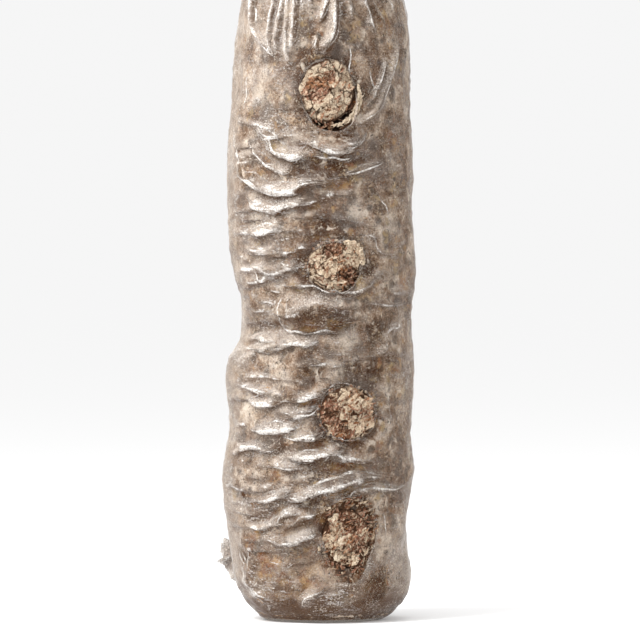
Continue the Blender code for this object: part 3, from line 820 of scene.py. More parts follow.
class Side:
    """The log's unrolled side, as a grid of columns round it and rows down it."""

    def __init__(self, angles, heights):
        self.columns, self.rows = RADIUS * angles, heights
        self.girth, self.height = (a.copy() for a in np.meshgrid(self.columns, heights))
        fields = (np.zeros(self.girth.shape) for _ in range(4))
        self.across, self.down, self.drawn, self.rolled = fields

    def near(self, line, margin):
        """Rows and columns near a line, and the girth there on the line's side of the seam."""
        turn = 2 * math.pi * RADIUS
        middle = (line[:, 0].min() + line[:, 0].max()) / 2
        half = (line[:, 0].max() - line[:, 0].min()) / 2 + margin
        offset = (self.columns - middle + turn / 2) % turn - turn / 2
        columns = np.nonzero(np.abs(offset) < half)[0]
        low, high = line[:, 1].min() - margin, line[:, 1].max() + margin
        rows = np.nonzero((self.rows > low) & (self.rows < high))[0]
        window = np.ix_(rows, columns)
        girth = middle + (self.girth[window] - middle + turn / 2) % turn - turn / 2
        return window, girth, self.height[window]

    def press(self, field, line, out, half_width, sharp=1.35, crest=0.4, lean=0.0):
        """Adds a fold to a field: rounded at its crest, and hollow on both its sides."""
        window, girth, height = self.near(line, half_width * (1.2 + abs(lean)))
        if not girth.size:
            return
        away, along = from_line(girth, height, line)
        fade = np.clip(np.minimum(along, 1 - along) / 0.2 + 0.06, 0, 1) ** 0.8
        wide = half_width * (0.55 + 0.45 * fade) * (1 + lean * np.sign(away))
        rounded = np.sqrt(away**2 + crest**2) - crest
        rise = out * fade * np.clip(1 - rounded / wide, 0, 1) ** sharp
        power = 2.4
        low, high = np.minimum(field[window], 0), np.maximum(field[window], 0)
        field[window] = low + (high**power + rise**power) ** (1 / power)

    def roll(self, line, out, half_width):
        """Adds a long round swelling with blunt ends."""
        window, girth, height = self.near(line, half_width * 1.1)
        away, along = from_line(girth, height, line)
        share = np.clip(1 - (away / half_width) ** 2, 0, 1) ** 0.6
        fade = eased(np.minimum(along * 5 + 0.6, (1 - along) * 2.6))
        self.rolled[window] = np.maximum(self.rolled[window], out * share * fade)


def calm(girth):
    """1 where the film lies smooth, on the front right."""
    angle = girth / RADIUS
    inside = between(CALM_FROM - 0.15, CALM_FROM + 0.1, angle)
    return inside * (1 - between(CALM_TO - 0.1, CALM_TO + 0.2, angle))


def add_back_folds(side):
    chance = np.random.default_rng(7)
    for i in range(BACK_FOLDS):
        height = BACK_LOWEST + BACK_SPAN * (i + 0.5) / BACK_FOLDS
        middle = RADIUS * math.radians(BACK_FROM + BACK_ROUND * ((i * GOLDEN) % 1))
        length = chance.uniform(*BACK_FOLD_LENGTH)
        rise = chance.uniform(-0.4, 0.4) * length
        bend = chance.uniform(-5, 5)
        points = [
            (middle - length / 2, height - rise / 2 + bend / 2),
            (middle - length / 5, height - rise / 5 - bend / 2),
            (middle + length / 5, height + rise / 5 + bend / 3),
            (middle + length / 2, height + rise / 2),
        ]
        out = chance.uniform(*BACK_FOLD_HEIGHT)
        side.press(side.across, smooth_line(points), out, 1.2 + 1.3 * out)


def add_small_folds(side):
    """Short wrinkles everywhere: across the side, and upright near the top gather."""
    quiet = 1 - 0.6 * calm(side.girth)
    quiet = quiet * (1 - 0.6 * between(262, 285, side.height))
    side.across += crumpled(side.girth, side.height) * quiet
    chance = np.random.default_rng(21)
    for _ in range(SMALL_FOLDS):
        girth = chance.uniform(-math.pi, math.pi) * RADIUS
        height = chance.uniform(*SMALL_FOLD_PLACE)
        length = chance.uniform(*SMALL_FOLD_LENGTH)
        upright = chance.uniform() < between(285, 325, height)
        slope = math.radians(chance.normal(88 if upright else 10, 16))
        out = chance.uniform(*SMALL_FOLD_HEIGHT) * (1 - 0.65 * float(calm(girth)))
        bend = chance.uniform(-0.16, 0.16) * length
        forward = np.array([math.cos(slope), math.sin(slope)])
        beside = np.array([-forward[1], forward[0]])
        middle = np.array([girth, height])
        points = [
            middle - forward * length / 2,
            middle + beside * bend,
            middle + forward * length / 2,
        ]
        field = side.down if upright else side.across
        side.press(field, smooth_line(points, 4), out, 1.3 + 1.2 * out, crest=0.5)


def add_front_folds(side):
    for points, out, half_width in FOLDS_ACROSS:
        line = girth_line(points)
        side.press(side.across, line, FOLD_BOLD * out, half_width, lean=FOLD_LEAN)
    for points, out, half_width in ROLLS:
        side.roll(girth_line(points), out, half_width)
    for points, out, half_width in PLEATS_DOWN:
        side.press(side.down, girth_line(points), PLEAT_BOLD * out, half_width)
    for points, depth, half_width in CREASES:
        side.press(side.drawn, girth_line(points), depth, half_width * 1.3, sharp=1.2)


def crumpled(girth, height):
    """Sharp little ridges where the film has crinkled, mostly across the log."""
    grain = Grain(51)
    turn = 2 * math.pi * RADIUS
    share = (girth / turn) % 1
    wrap = eased((share - 0.9) / 0.1)  # the pattern meets itself at the back
    total = 0.0
    for start, weight in ((0.0, 1 - wrap), (-turn, wrap)):
        across = share * turn + start
        lean = 0.22 * grain.at(across, height, 40, 46)
        x = (across + 3.4 * grain.at(across, height, 3, 15)) / 2.3
        y = height + lean * across + 3.0 * grain.at(across, height, 7, 17)
        folds = 1 - 2.1 * np.abs(grain.at(x, y, 0, CRUMPLE_SIZE))
        finer = 1 - 2.1 * np.abs(grain.at(x, y, 30, 0.47 * CRUMPLE_SIZE))
        total = total + weight * (0.68 * folds + 0.32 * finer)
    return np.clip(total, -0.4, 1) * CRUMPLE_HEIGHT


LIGHT_UP, LIGHT_LEFT = 0.85, 0.5  # how much each slope counts as turned to the light, for the painted light and shade


def facing_light(side, relief):
    """Slope of the relief towards the upper left, where the light is."""
    rows, columns = np.gradient(side.rows), np.gradient(side.columns)
    up = -np.gradient(relief, axis=0) / rows[:, None]
    left = np.gradient(relief, axis=1) / columns[None, :]
    return LIGHT_UP * up + LIGHT_LEFT * left


def off_foot(height):
    """0 at the log's foot, rising to 1 where folds reach their full height."""
    return eased((height - 1.5) / 12)


def side_share(girth):
    """The film lies closer on the sides, where the log's outline is seen."""
    return 1 - 0.82 * between(0.82, 0.95, np.abs(np.sin(girth / RADIUS)))


# ---------------------------------------------------------------- the block
SOCKET_CLEAR = 0.5  # from a plug's side to its socket
GAP_DEPTH = 9.0  # where the film is torn open below a plug


def socket_depth(girth, height):
    """How deep the block is let in for its plugs."""
    depth = np.zeros(girth.shape)
    for plug in PLUGS:
        away, bearing = plug_polar(plug, girth, height)
        edge = plug_reach(plug, bearing) + SOCKET_CLEAR
        depth = np.maximum(depth, (PLUG_DEPTH + 0.6) * (away < edge - 0.05))
        if plug.get("open_below"):
            gap = (away < round_curve(plug["hole"], bearing) - 1.5) & (bearing < -0.4)
            depth = np.maximum(depth, GAP_DEPTH * gap)
    return depth


def draw_to_sockets(side, reach_of):
    """Moves the corners beside each socket on to its outline."""
    for plug in PLUGS:
        away, bearing = plug_polar(plug, side.girth, side.height)
        edge = plug_reach(plug, bearing) + SOCKET_CLEAR
        close = np.abs(away - edge) < reach_of
        middle = girth_at(plug["x"])
        side.girth = np.where(close, middle + edge * np.cos(bearing), side.girth)
        side.height = np.where(close, plug["height"] + edge * np.sin(bearing), side.height)


def near_hole(girth, height, spread):
    """1 at the edge of a plug, fading over spread millimetres of bare block round it."""
    near = np.zeros(girth.shape)
    for plug in PLUGS:
        away, bearing = plug_polar(plug, girth, height)
        past = away - plug_reach(plug, bearing)
        near = np.maximum(near, 1 - eased(past / spread))
    return near


def line_paint(girth, height, lines, widen):
    """1 along lines, fading over their own widths."""
    paint = np.zeros(girth.shape)
    for points, _, half_width in lines:
        away, along = from_line(girth, height, girth_line(points))
        fade = eased(np.minimum(along, 1 - along) / 0.2)
        paint = np.maximum(paint, fade * (1 - eased(np.abs(away) / half_width / widen)))
    return paint


def block_surface(side):
    """The block's radius and its swelling under the folds, before its sockets are cut."""
    girth, height = side.girth, side.height
    angle = girth / RADIUS
    grain = Grain(3)
    base = core_radius(angle, height) * end_share(height)
    x, y = base * np.sin(angle), -base * np.cos(angle)
    lumps = 0.6 * grain.rough(x, y, height, 13, 2) + 0.45 * grain.rough(x, y, height, 4.5, 2)
    filled = FOLD_FILL * off_foot(height) * away_from_plugs(girth, height)
    filled = filled * side_share(girth)
    across, down = side.across * filled + 1.5 * side.rolled * filled, side.down * filled
    dents = line_paint(girth, height, CREASES, 1.4)
    return base - FILM_CLEAR + lumps + across + down - 1.4 * dents, across, dents


def block_piece():
    count = round((BLOCK_TOP - BLOCK_FOOT) / BLOCK_PITCH)
    side = Side(drawn_forward(BLOCK_COLUMNS), np.linspace(BLOCK_TOP, BLOCK_FOOT, count))
    add_front_folds(side)
    add_back_folds(side)
    # Painted shade on the slopes that turn from the light
    facing = facing_light(side, side.across + 0.7 * side.down)
    valley = between(0.15, 0.8, -facing) * away_from_plugs(side.girth, side.height)
    draw_to_sockets(side, 0.75 * BLOCK_PITCH)
    girth, height = side.girth, side.height
    angle = girth / RADIUS
    radius, across, dents = block_surface(side)
    radius = radius - socket_depth(girth, height)
    heap = Heap()
    drop = SAG * across * eased((height - 8) / 14)
    points = placed(angle, np.maximum(radius, 3), height - drop).reshape(-1, 3)
    points = np.concatenate([points, [(0, 0, BLOCK_TOP), (0, 0, BLOCK_FOOT)]])
    last = len(points) - 1
    ring = np.arange(BLOCK_COLUMNS)
    faces = tube_quads(count, BLOCK_COLUMNS).tolist()
    faces += fan(last - 1, ring)
    faces += fan(last, (count - 1) * BLOCK_COLUMNS + ring[::-1])
    warm = np.clip(0.26 + 0.35 * Grain(16).rough(girth, height, 0, 14, 2), 0, 0.7)
    warm = warm * between(74, 40, height) * (1 - 0.75 * between(-2, 16, girth))
    stains = np.maximum(spot_paint(girth, height, STAINS, 11), warm)
    # far: painted shade, greying and darkening the left flank
    far = between(-47, -64, girth) * between(-110, -84, girth)
    uneven = 0.5 + Grain(15).rough(girth, height, 0, 4, 2)
    # Painted shade in the sockets and round the holes
    shade = np.clip(socket_depth(girth, height) / 8, 0, 0.92)
    shade = np.maximum(shade, np.clip(near_hole(girth, height, 5.0) * uneven * 1.1, 0, 0.8))
    # browns: painted shade in the creases and round the holes, and the brown patches
    browns = np.maximum(np.maximum(dents, near_hole(girth, height, 9.0)), dark_paint(girth, height))
    paint = dict(
        # rust: the stains, and the creases browned as painted shade
        rust=np.maximum(stains, dents * 0.75),
        brown=browns,
        # left: painted light on the front left, and paler near the foot
        left=lit_left_pale_foot(girth, height),
        far=far,
        shade=shade,
        valley=valley,
        blot=spot_paint(girth, height, BLOTS, 12),
        pale=spot_paint(girth, height, PALES, 13),
    )
    heap.add(points, faces, **with_tail(paint, 2, 0.0))
    return heap.piece("grown_block", sawdust_look())


# Spots on the block as seen from the front: x, height, radius
STAINS = [
    (-31, 35, 6.5), (-24, 34, 4.5), (-28, 14, 7), (-18, 14, 5), (-8, 23, 4), (46, 181, 6),
    (-34, 50, 4), (-17, 200, 3), (40, 262, 6), (-31, 26, 6), (-21, 23, 5), (-39, 44, 6),
]
BLOTS = [
    (-9, 320, 5.5), (1, 316, 2.6), (-31.5, 304, 3.6), (8, 309, 5), (13, 317, 4), (-30, 274, 5.5),
    (-19, 279, 3.4), (-9, 248, 4.2), (29, 257, 4.4), (-7, 231, 4.4), (18, 243, 4), (3, 229, 5),
    (17, 229, 3.6), (10, 219, 5), (18, 215, 3.4), (31.5, 217, 2), (27, 224, 2), (-18, 196, 5),
    (-26.5, 196, 3.4), (12, 163, 6), (-10, 142, 4), (-7, 130, 3.6), (17.5, 132, 5), (5, 146, 4),
    (-30, 135, 2.8), (1, 85, 5), (33, 86, 3.8), (-14, 118, 4.6), (-29, 97, 3), (-37.5, 65, 3.4),
    (-4, 53, 4.6), (-32, 46, 4), (-26, 36, 2), (-20.5, 26, 3.6), (-10, 41, 5.4), (13, 29, 3.4),
    (-14, 34, 4.4), (-26, 21, 3.6), (20, 40, 4),
]
# Pale patches; the one at (-4, 16) is partly a painted highlight, for the film's gloss there
PALES = [
    (-34.5, 285, 5), (-6, 331, 5), (-16, 261, 3.6), (-10, 313, 3), (-39, 256, 6), (19.5, 222, 5.4),
    (16, 153, 5.4), (-21.5, 132, 4.4), (8.5, 137, 5), (-10.5, 33, 4), (37, 41, 8), (-38, 118, 7),
    (-36, 215, 6), (-28, 18, 4), (-4, 16, 5.5), (-13, 49, 5), (2, 25, 4),
]

# Broad brown patches, placed in the same way
DARKS = [
    (-8, 303, 8), (3, 248, 12), (-7, 246, 8), (13, 246, 8), (9, 211, 11), (1, 208, 9), (-7, 191, 7),
    (25, 193, 6), (18, 134, 9), (25, 134, 6), (-3, 117, 7), (0, 101, 6), (2, 82, 9), (14, 80, 8),
    (25, 80, 7), (1, 61, 8), (23, 60, 8), (30, 137, 6), (15, 262, 7), (-6, 66, 6), (10, 163, 9),
    (-6, 163, 8), (30, 160, 6), (-4, 135, 6), (33, 20, 9),
]


def spot_paint(girth, height, spots, seed):
    """1 on each ragged spot, fading at its edge."""
    paint = np.zeros(girth.shape)
    wobble = Grain(seed).rough(girth, height, 0, 5, 3)
    for x, z, radius in spots:
        away = np.hypot(girth - girth_at(x), height - z)
        paint = np.maximum(paint, 1 - eased((away + 0.3 * radius * wobble) / radius - 0.4))
    return paint


# ---------------------------------------------------------------- the film
def away_from_plugs(girth, height):
    """0 over the plugs, rising to 1 clear of them."""
    clear = np.ones(girth.shape)
    for plug in PLUGS:
        away, bearing = plug_polar(plug, girth, height)
        edge = round_curve(plug["hole"], bearing)
        clear = np.minimum(clear, 0.25 + 0.75 * eased((away - edge) / 6))
    return clear


def cut_holes(film, faces):
    """Drops the faces over each plug, and draws the edge left on to the hole's outline."""
    girth, height = film.girth.ravel(), film.height.ravel()
    columns = len(film.columns)
    kept = np.ones(len(faces), bool)
    rims = []
    for plug in PLUGS:
        away, bearing = plug_polar(plug, girth, height)
        edge = round_curve(plug["hole"], bearing)
        inside = (away < edge)[faces].sum(axis=1) >= 2
        inside &= (away[faces] < edge[faces] + 4).all(axis=1)
        rim = np.intersect1d(faces[inside], faces[kept & ~inside])
        order = rim[np.argsort(bearing[rim])]
        kept &= ~inside
        middle = girth_at(plug["x"])
        girth[order] = middle + edge[order] * np.cos(bearing[order])
        height[order] = plug["height"] + edge[order] * np.sin(bearing[order])
        rims.append(order)
    film.girth = girth.reshape(-1, columns)
    film.height = height.reshape(-1, columns)
    return faces[kept], rims


def film_piece():
    heights = np.linspace(FILM_TOP, FILM_FOOT, round((FILM_TOP - FILM_FOOT) / FILM_PITCH))
    film = Side(drawn_forward(FILM_COLUMNS), heights)
    faces, rims = cut_holes(film, tube_quads(len(heights), FILM_COLUMNS))
    add_front_folds(film)
    add_back_folds(film)
    add_small_folds(film)
    girth, height = film.girth, film.height
    heap = Heap()
    under = block_surface(film)[0]
    side_points = settled(film_side(film), film, under + LEAST_CLEAR, rims)
    mist = mist_paint(girth, height)
    lift, facing, bent, proud = relief_of(side_points, film, under)
    # Painted shade where the film turns from the light and where it sinks below its neighbours
    shaded = np.maximum(0.95 * between(0.03, 0.40, -facing), between(0.15, 0.90, -proud))
    shaded = softened(shaded, 1, upright=True)
    # The painted highlights fade towards the right, and off the roll
    lit_side = 1 - 0.75 * between(-4, 34, girth)
    lit_side = lit_side * (1 - line_paint(girth, height, ROLLS, 1.2))
    # glow dims the painted highlights low down and near the top
    glow = 1 - 0.15 * (1 - between(78, 100, height)) - 0.2 * between(225, 245, height)
    # Painted highlight on sharp crests and along the chief folds
    crest = between(0.22, 0.75, bent) * between(0.1, 0.5, lift) * (0.6 + 0.4 * lit_side)
    crest = np.maximum(crest, 0.5 * crest_lines(girth, height))
    # Painted light where the film turns to the light and stands proud of its neighbours
    lit = 0.85 * between(0.10, 0.75, facing) + 0.45 * between(0.2, 1.4, proud)
    heap.add(
        side_points,
        faces,
        lift=lift,
        mist=mist,
        crest=crest * glow,
        lit=np.clip(lit + lit_haze(girth, height), 0, 1),
        # Less veil over the brown patches and round the holes, where the block is painted in shade
        dark=np.maximum(dark_paint(girth, height), 0.8 * near_hole(girth, height, 5.0)),
        # gleam: a painted highlight on slopes turned part way to the light
        gleam=np.exp(-(((facing - 0.5) / 0.26) ** 2)) * lit_side * between(0.1, 0.5, lift) * glow,
        shaded=shaded,
    )
    add_edge_strips(heap, film, side_points, proud)
    for plug, rim in zip(PLUGS, rims):
        add_lip(heap, film, plug, rim, side_points.reshape(-1, 3), mist.ravel())
    add_top_gather(heap, film, side_points[0], lift[0])
    add_foot(heap, film, side_points[-1])
    add_side_gather(heap)
    return heap.piece("clear_wrap", film_look())


def film_side(film):
    """Corners of the film's side as it is folded, before it settles."""
    angle, height = film.girth / RADIUS, film.height
    clear = away_from_plugs(film.girth, height)
    gathered = top_pleats(angle, height)
    clear = clear * side_share(film.girth)
    across = (film.across + film.rolled) * clear
    relief = across + film.down * clear
    low = off_foot(height)
    radius = core_radius(angle, height) * end_share(height)
    radius = radius + relief * low + gathered - 0.5 * film.drawn * low
    drop = SAG * across * low * eased((height - 8) / 14)
    return placed(angle, radius, height - drop)


# How the film settles on the block
LEAST_CLEAR = 0.35
SLACK_UP = 0.14  # spare length of the film up the log, as a share
SLACK_TOP, SLACK_TOP_MOST = 0.55, 0.10  # spare length round the shoulder
SETTLE_PASSES = 160
SLANT_PULL = 0.25  # how much of a slanting length's error each pass takes out
PULL_IN = 0.006  # millimetres a pass
STIFF = 0.010  # how much of its bending each pass takes out
SMOOTH_PASSES = 5  # afterwards, round the log
FULL_LIFT = 2.6  # the film is milkiest where it stands off this far
MEAN_PASSES = 14  # that smooth the film to the mean which a fold stands out from


def above_side(height):
    """0 on the log's side, rising to 1 on its shoulder."""
    return between(265, 295, height)


def slack_of(film):
    """Spare film up the log and round it: less where it lies smooth, more at the shoulder."""
    free = away_from_plugs(film.girth, film.height) * side_share(film.girth)
    free = free * (1 - line_paint(film.girth, film.height, ROLLS, 1.3))
    top = between(258, 288, film.height)
    low = eased((film.height - 20) / 40)
    up = SLACK_UP * free * (1 - 0.55 * calm(film.girth)) * (1 - 0.9 * top) * low
    drawn_in = np.minimum(1 / end_share(film.height) - 1, SLACK_TOP_MOST)
    round_it = SLACK_TOP * drawn_in * top
    return up, round_it


def settled(points, film, least, rims):
    """Lets the slack film settle: it keeps its lengths, lies on the block, and wrinkles."""
    rows, columns = film.girth.shape
    out = outwards(film.girth / RADIUS)
    up_slack, round_slack = slack_of(film)
    ahead = (np.arange(columns) + 1) % columns

    def length(step):
        return np.sqrt((step**2).sum(axis=-1))

    down_rest = length(points[1:] - points[:-1]) * (1 + up_slack[1:])
    round_rest = length(points[:, ahead] - points) * (1 + round_slack)
    falling = length(points[1:][:, ahead] - points[:-1])
    rising = length(points[:-1][:, ahead] - points[1:])
    grow = 1 + 0.5 * (up_slack[1:] + round_slack[1:])
    free = np.ones((rows, columns, 1))
    free[0] = free[-1] = 0
    free.reshape(-1)[np.concatenate(rims)] = 0
    hold = 1.3 - 1.05 * between(270, 300, film.height)

    def pull(first, second, rest, share):
        step = points[second] - points[first]
        far = np.maximum(length(step), 1e-3)
        move = step * (share * 0.5 * (far - rest) / far)[..., None]
        points[first] += move * free[first]
        points[second] -= move * free[second]

    every = slice(None)
    for _ in range(SETTLE_PASSES):
        points -= out * PULL_IN * free
        for start in (0, 1):
            pull(slice(start, rows - 1, 2), slice(start + 1, rows, 2), down_rest[start::2], 1.0)
        for start in (0, 1):
            here = np.arange(start, columns, 2)
            pull((every, here), (every, ahead[here]), round_rest[:, here], 1.0)
        for start in (0, 1):
            for column in (0, 1):
                here = np.arange(column, columns, 2)
                upper = np.ix_(np.arange(start, rows - 1, 2), here)
                lower = np.ix_(np.arange(start + 1, rows, 2), ahead[here])
                pull(upper, lower, (falling * grow)[start::2][:, here], SLANT_PULL)
                upper = np.ix_(np.arange(start, rows - 1, 2), ahead[here])
                lower = np.ix_(np.arange(start + 1, rows, 2), here)
                pull(upper, lower, (rising * grow)[start::2][:, here], SLANT_PULL)
        stand = (points * out).sum(axis=-1)
        bend = bending(bending(stand, hold), hold)
        stand_new = np.maximum(stand - STIFF * bend, least)
        points += out * ((stand_new - stand)[..., None] * free)
    along = 0.5 * (1 - above_side(film.height))
    for _ in range(SMOOTH_PASSES):
        for way in (out, np.array([0.0, 0.0, 1.0])):
            stand = (points * way).sum(axis=-1)
            if way.ndim == 1:
                stand = stand - film.height
            step = along * (beside(stand) - stand)
            points += way * (step[..., None] * free)
    return points


def beside(values):
    """Mean of the values before and after each one, round the log."""
    return (np.roll(values, 1, 1) + np.roll(values, -1, 1)) / 2


def above_below(values):
    """A grid's values one row up, and one row down."""
    return np.vstack([values[:1], values[:-1]]), np.vstack([values[1:], values[-1:]])


def softened(values, passes, upright=False):
    """Values of a grid smoothed round the log, and up it too if asked."""
    for _ in range(passes):
        values = (values + beside(values)) / 2
        if upright:
            up, down = above_below(values)
            values = (2 * values + up + down) / 4
    return values


def bending(values, hold):
    """How much each value of a grid differs from its neighbours', those beside it by a weight."""
    up, down = above_below(values)
    return 2 * values - up - down + 2 * hold * (values - beside(values))


def relief_of(points, film, under):
    """How far the film stands off the block, its slope towards the light, and how it bends."""
    angle = film.girth / RADIUS
    out, across = outwards(angle), outwards(angle + math.pi / 2)
    down = np.gradient(points, axis=0)
    ahead = np.roll(points, -1, 1) - np.roll(points, 1, 1)
    normal = np.cross(down, ahead)
    normal /= np.sqrt((normal**2).sum(axis=-1))[..., None]
    outward = np.maximum((normal * out).sum(axis=-1), 0.3)
    facing = LIGHT_UP * normal[..., 2] - LIGHT_LEFT * (normal * across).sum(axis=-1)
    facing = facing / outward
    upper, lower = above_below(points)
    sides = np.roll(points, 1, 1) + np.roll(points, -1, 1)
    bent = -((upper + lower - 2 * points) * normal).sum(axis=-1) / FILM_PITCH**2
    bent = bent - ((sides - 2 * points) * normal).sum(axis=-1) / FILM_PITCH**2
    stand = (points * out).sum(axis=-1) - under
    lift = np.clip((stand - LEAST_CLEAR) / FULL_LIFT, 0, 1)
    proud = stand - softened(stand, MEAN_PASSES, upright=True)
    top = above_side(film.height)
    facing = top * facing + (1 - top) * softened(facing, 3)
    bent = top * bent + (1 - top) * softened(bent, 4)
    return lift, facing, bent, proud


def top_pleats(angle, height):
    """Sharp pleats that deepen towards the top gather."""
    rise = between(PLEAT_FOOT, CROWN - 6, height)
    sway = swayed(angle)
    ridge = 1 - np.abs(np.sin(TOP_PLEATS * sway / 2)) ** 0.8
    finer = 1 - np.abs(np.sin(TOP_PLEATS * sway + 0.7))
    return rise * (3.4 * ridge + 1.2 * finer - 0.8)


def crest_lines(girth, height):
    """1 on the crests of the chief folds, where a highlight is painted."""
    folds = FOLDS_ACROSS + PLEATS_DOWN
    chief = [(points, out, 0.55 + 0.28 * out) for points, out, _ in folds if out > CHIEF_FOLD]
    return line_paint(girth, height, chief, 1.0)


def lit_left_pale_foot(girth, height):
    """1 on the front left, where light is painted, and near the foot, where the block is paler."""
    left = between(-6, -19, girth) * between(-150, -110, girth)
    return np.maximum(left, 0.9 * (1 - between(36, 64, height)))


def lit_haze(girth, height):
    """Painted light: pale haze on the front left, where the light falls, and in soft clouds."""
    cloud = Grain(8).rough(girth, height, 0, 16, 3)
    side = lit_left_pale_foot(girth, height) * (1 - 0.75 * between(-46, -72, girth))
    haze = side * (0.26 + 0.22 * between(282, 304, height)) + 0.30 * cloud * (0.3 + side)
    seen = np.maximum(dark_paint(girth, height), 0.7 * spot_paint(girth, height, STAINS, 11))
    return np.clip(haze, 0, 1) * (1 - seen)


def dark_paint(girth, height):
    return spot_paint(girth, height, DARKS, 14)


def mist_paint(girth, height):
    """Where the film is misted: most on the front right, and in soft patches elsewhere."""
    cloud = Grain(5).rough(girth, height, 0, 34, 3)
    finer = Grain(6).rough(girth, height, 0, 9, 2)
    right = calm(girth)
    return np.clip(0.62 * right + 0.35 * cloud + 0.12 * finer + 0.12, 0, 1)


def on_grid(values, film, place):
    """Values of the film's grid at (girth, height) places on its front."""
    column = np.interp(place[:, 0], film.columns, np.arange(len(film.columns)))
    row = np.interp(-place[:, 1], -film.rows, np.arange(len(film.rows)))
    i, j = (np.minimum(n.astype(int), limit - 2) for n, limit in zip((row, column), values.shape))
    u, v = row - i, column - j
    if values.ndim == 3:
        u, v = u[:, None], v[:, None]
    upper = values[i, j] * (1 - v) + values[i, j + 1] * v
    lower = values[i + 1, j] * (1 - v) + values[i + 1, j + 1] * v
    return upper * (1 - u) + lower * u


EDGE_STRIP, HOLLOW_STRIP = 0.42, 1.15  # half widths of the painted highlight strips and the painted shade strips
EDGE_PITCH = 1.2
EDGE_PROUD, HOLLOW_PROUD = 0.22, 0.16  # how far a strip's middle stands off the film
STRIP_SIDES_PROUD = 0.05
WEAKEST_EDGE = 0.9  # a fold that stands out less has no strips
CREST_SEARCH = np.linspace(-3.2, 3.2, 17)  # how far aside of its line a crest may lie
CREST_MEAN = 5  # places along it that each is averaged over


def add_edge_strips(heap, film, points, proud):
    """Thin strips on chief folds: painted shade in the hollow, painted highlight on crest and upper
    edge.
    """
    wander = Grain(44)
    for number, (course, out, half_width) in enumerate(FOLDS_ACROSS + PLEATS_DOWN + FINE_EDGES):
        if out < WEAKEST_EDGE:
            continue
        line = even_path(girth_line(course), EDGE_PITCH)
        ahead = np.gradient(line, axis=0)
        ahead /= np.hypot(ahead[:, 0], ahead[:, 1])[:, None]
        aside = np.stack([-ahead[:, 1], ahead[:, 0]], axis=-1)
        share = np.linspace(0, 1, len(line))
        swell = np.sin(math.pi * share)
        tried = [
            on_grid(proud, film, line + shift * aside) - 0.02 * shift**2 for shift in CREST_SEARCH
        ]
        best = CREST_SEARCH[np.argmax(tried, axis=0)]
        kernel = np.ones(CREST_MEAN) / CREST_MEAN
        for _ in range(2):
            best = np.convolve(np.pad(best, CREST_MEAN // 2, mode="edge"), kernel, mode="valid")
        crest = line + best[:, None] * aside
        upper = crest + (0.85 * half_width * swell**0.8)[:, None] * aside
        standing = float(between(0.15, 0.8, on_grid(proud, film, crest).mean()))
        under = crest - (0.62 * half_width * swell)[:, None] * aside
        # Strength of the painted shade strip in the hollow, for folds across only
        hollow = 1.7 * between(0.0, 0.5, standing) if number < len(FOLDS_ACROSS) else 0
        for edge, strength, width, middle_proud in (
            (under, hollow, HOLLOW_STRIP, HOLLOW_PROUD),
            (crest, 1.25 + 0.4 * standing, EDGE_STRIP, EDGE_PROUD),
            (upper, 0.95 * standing, EDGE_STRIP, EDGE_PROUD),
        ):
            if strength < 0.2:
                continue
            uneven = wander.rough(edge[:, 0], edge[:, 1], number, 7, 2)
            edge = edge + (0.5 * uneven * swell)[:, None] * aside
            strong = strength * swell**0.5 * np.clip(0.85 + 0.9 * uneven, 0.15, 1.2)
            strong = strong * (1 - 0.35 * between(8, 26, edge[:, 0]) * (1 - standing))
            wide = width * (0.3 + 0.7 * swell**0.6)
            rows = []
            for shift in (-1, 0, 1):
                rise = STRIP_SIDES_PROUD if shift else middle_proud
                place = edge + (shift * wide)[:, None] * aside
                rows.append(on_grid(points, film, place) + rise * outwards(place[:, 0] / RADIUS))
            count = len(line)
            first = np.add.outer([0, count], np.arange(count - 1)).ravel()
            faces = np.stack([first, first + 1, first + 1 + count, first + count], axis=-1)
            # Painted highlight on the crest and upper strips, painted shade on the hollow strip
            if width == EDGE_STRIP:
                paint = dict(lift=0.6, lit=0.5, crest=np.tile(strong, 3))
            else:
                deep = strong * (0.55 + 0.45 * share)
                paint = dict(shaded=np.concatenate([0.1 * deep, deep, 0.1 * deep]))
            heap.add(np.concatenate(rows), faces, **paint)


LIP_ROWS = 5
LIP_CRESTS = [0, 0.1, 0.2, 0.4, 0.6, 0.3]  # how bright the painted highlight on each row is, from the film out


def add_lip(heap, film, plug, rim, points, mist):
    """The torn edge of the film, standing up round a plug and curling in over it."""
    bearing = plug_polar(plug, film.girth.ravel()[rim], film.height.ravel()[rim])[1]
    ragged = Grain(31 + round(plug["height"]))
    round_x, round_y = 9 * np.cos(bearing), 9 * np.sin(bearing)
    flap_at, flap_tall = plug["flap"]
    off = np.abs((bearing - math.radians(flap_at) + math.pi) % (2 * math.pi) - math.pi)
    flap = flap_tall * (1 - eased(off / 0.7))
    tall = 0.35 + 0.9 * ragged.rough(round_x, round_y, 0, 4.2, 3) + flap
    inward = 1.1 + 1.2 * ragged.rough(round_x, round_y, 9, 3.4, 2) - 0.25 * flap
    angle = film.girth.ravel()[rim] / RADIUS
    out = outwards(angle)
    toward = np.stack(
        [-np.cos(angle) * np.cos(bearing), -np.sin(angle) * np.cos(bearing), -np.sin(bearing)],
        axis=-1,
    )
    rows = [points[rim]]
    for n in range(1, LIP_ROWS + 1):
        t = n / LIP_ROWS
        up = tall * math.sin(t * 2.2)
        over = inward * t**1.6
        rows.append(points[rim] + out * up[:, None] + toward * over[:, None])
    # Painted highlight along the torn edge, brightest on the flap
    bright = np.clip(0.1 + 0.9 * ragged.rough(round_x, round_y, 5, 3, 2) + 0.6 * flap, 0, 1.6)
    add_tube(
        heap,
        rows,
        faced_in=True,
        lift=0.3 + 0.7 * np.clip(tall / 2.4, 0, 1),
        mist=mist[rim],
        crest=np.outer(LIP_CRESTS, bright),
        lit=0.2,
    )


def swayed(angle, phase=1.0):
    """Angles drawn together and apart, so that pleats aren't even."""
    return angle + 0.22 * np.sin(2 * angle + phase) + 0.12 * np.sin(5 * angle)


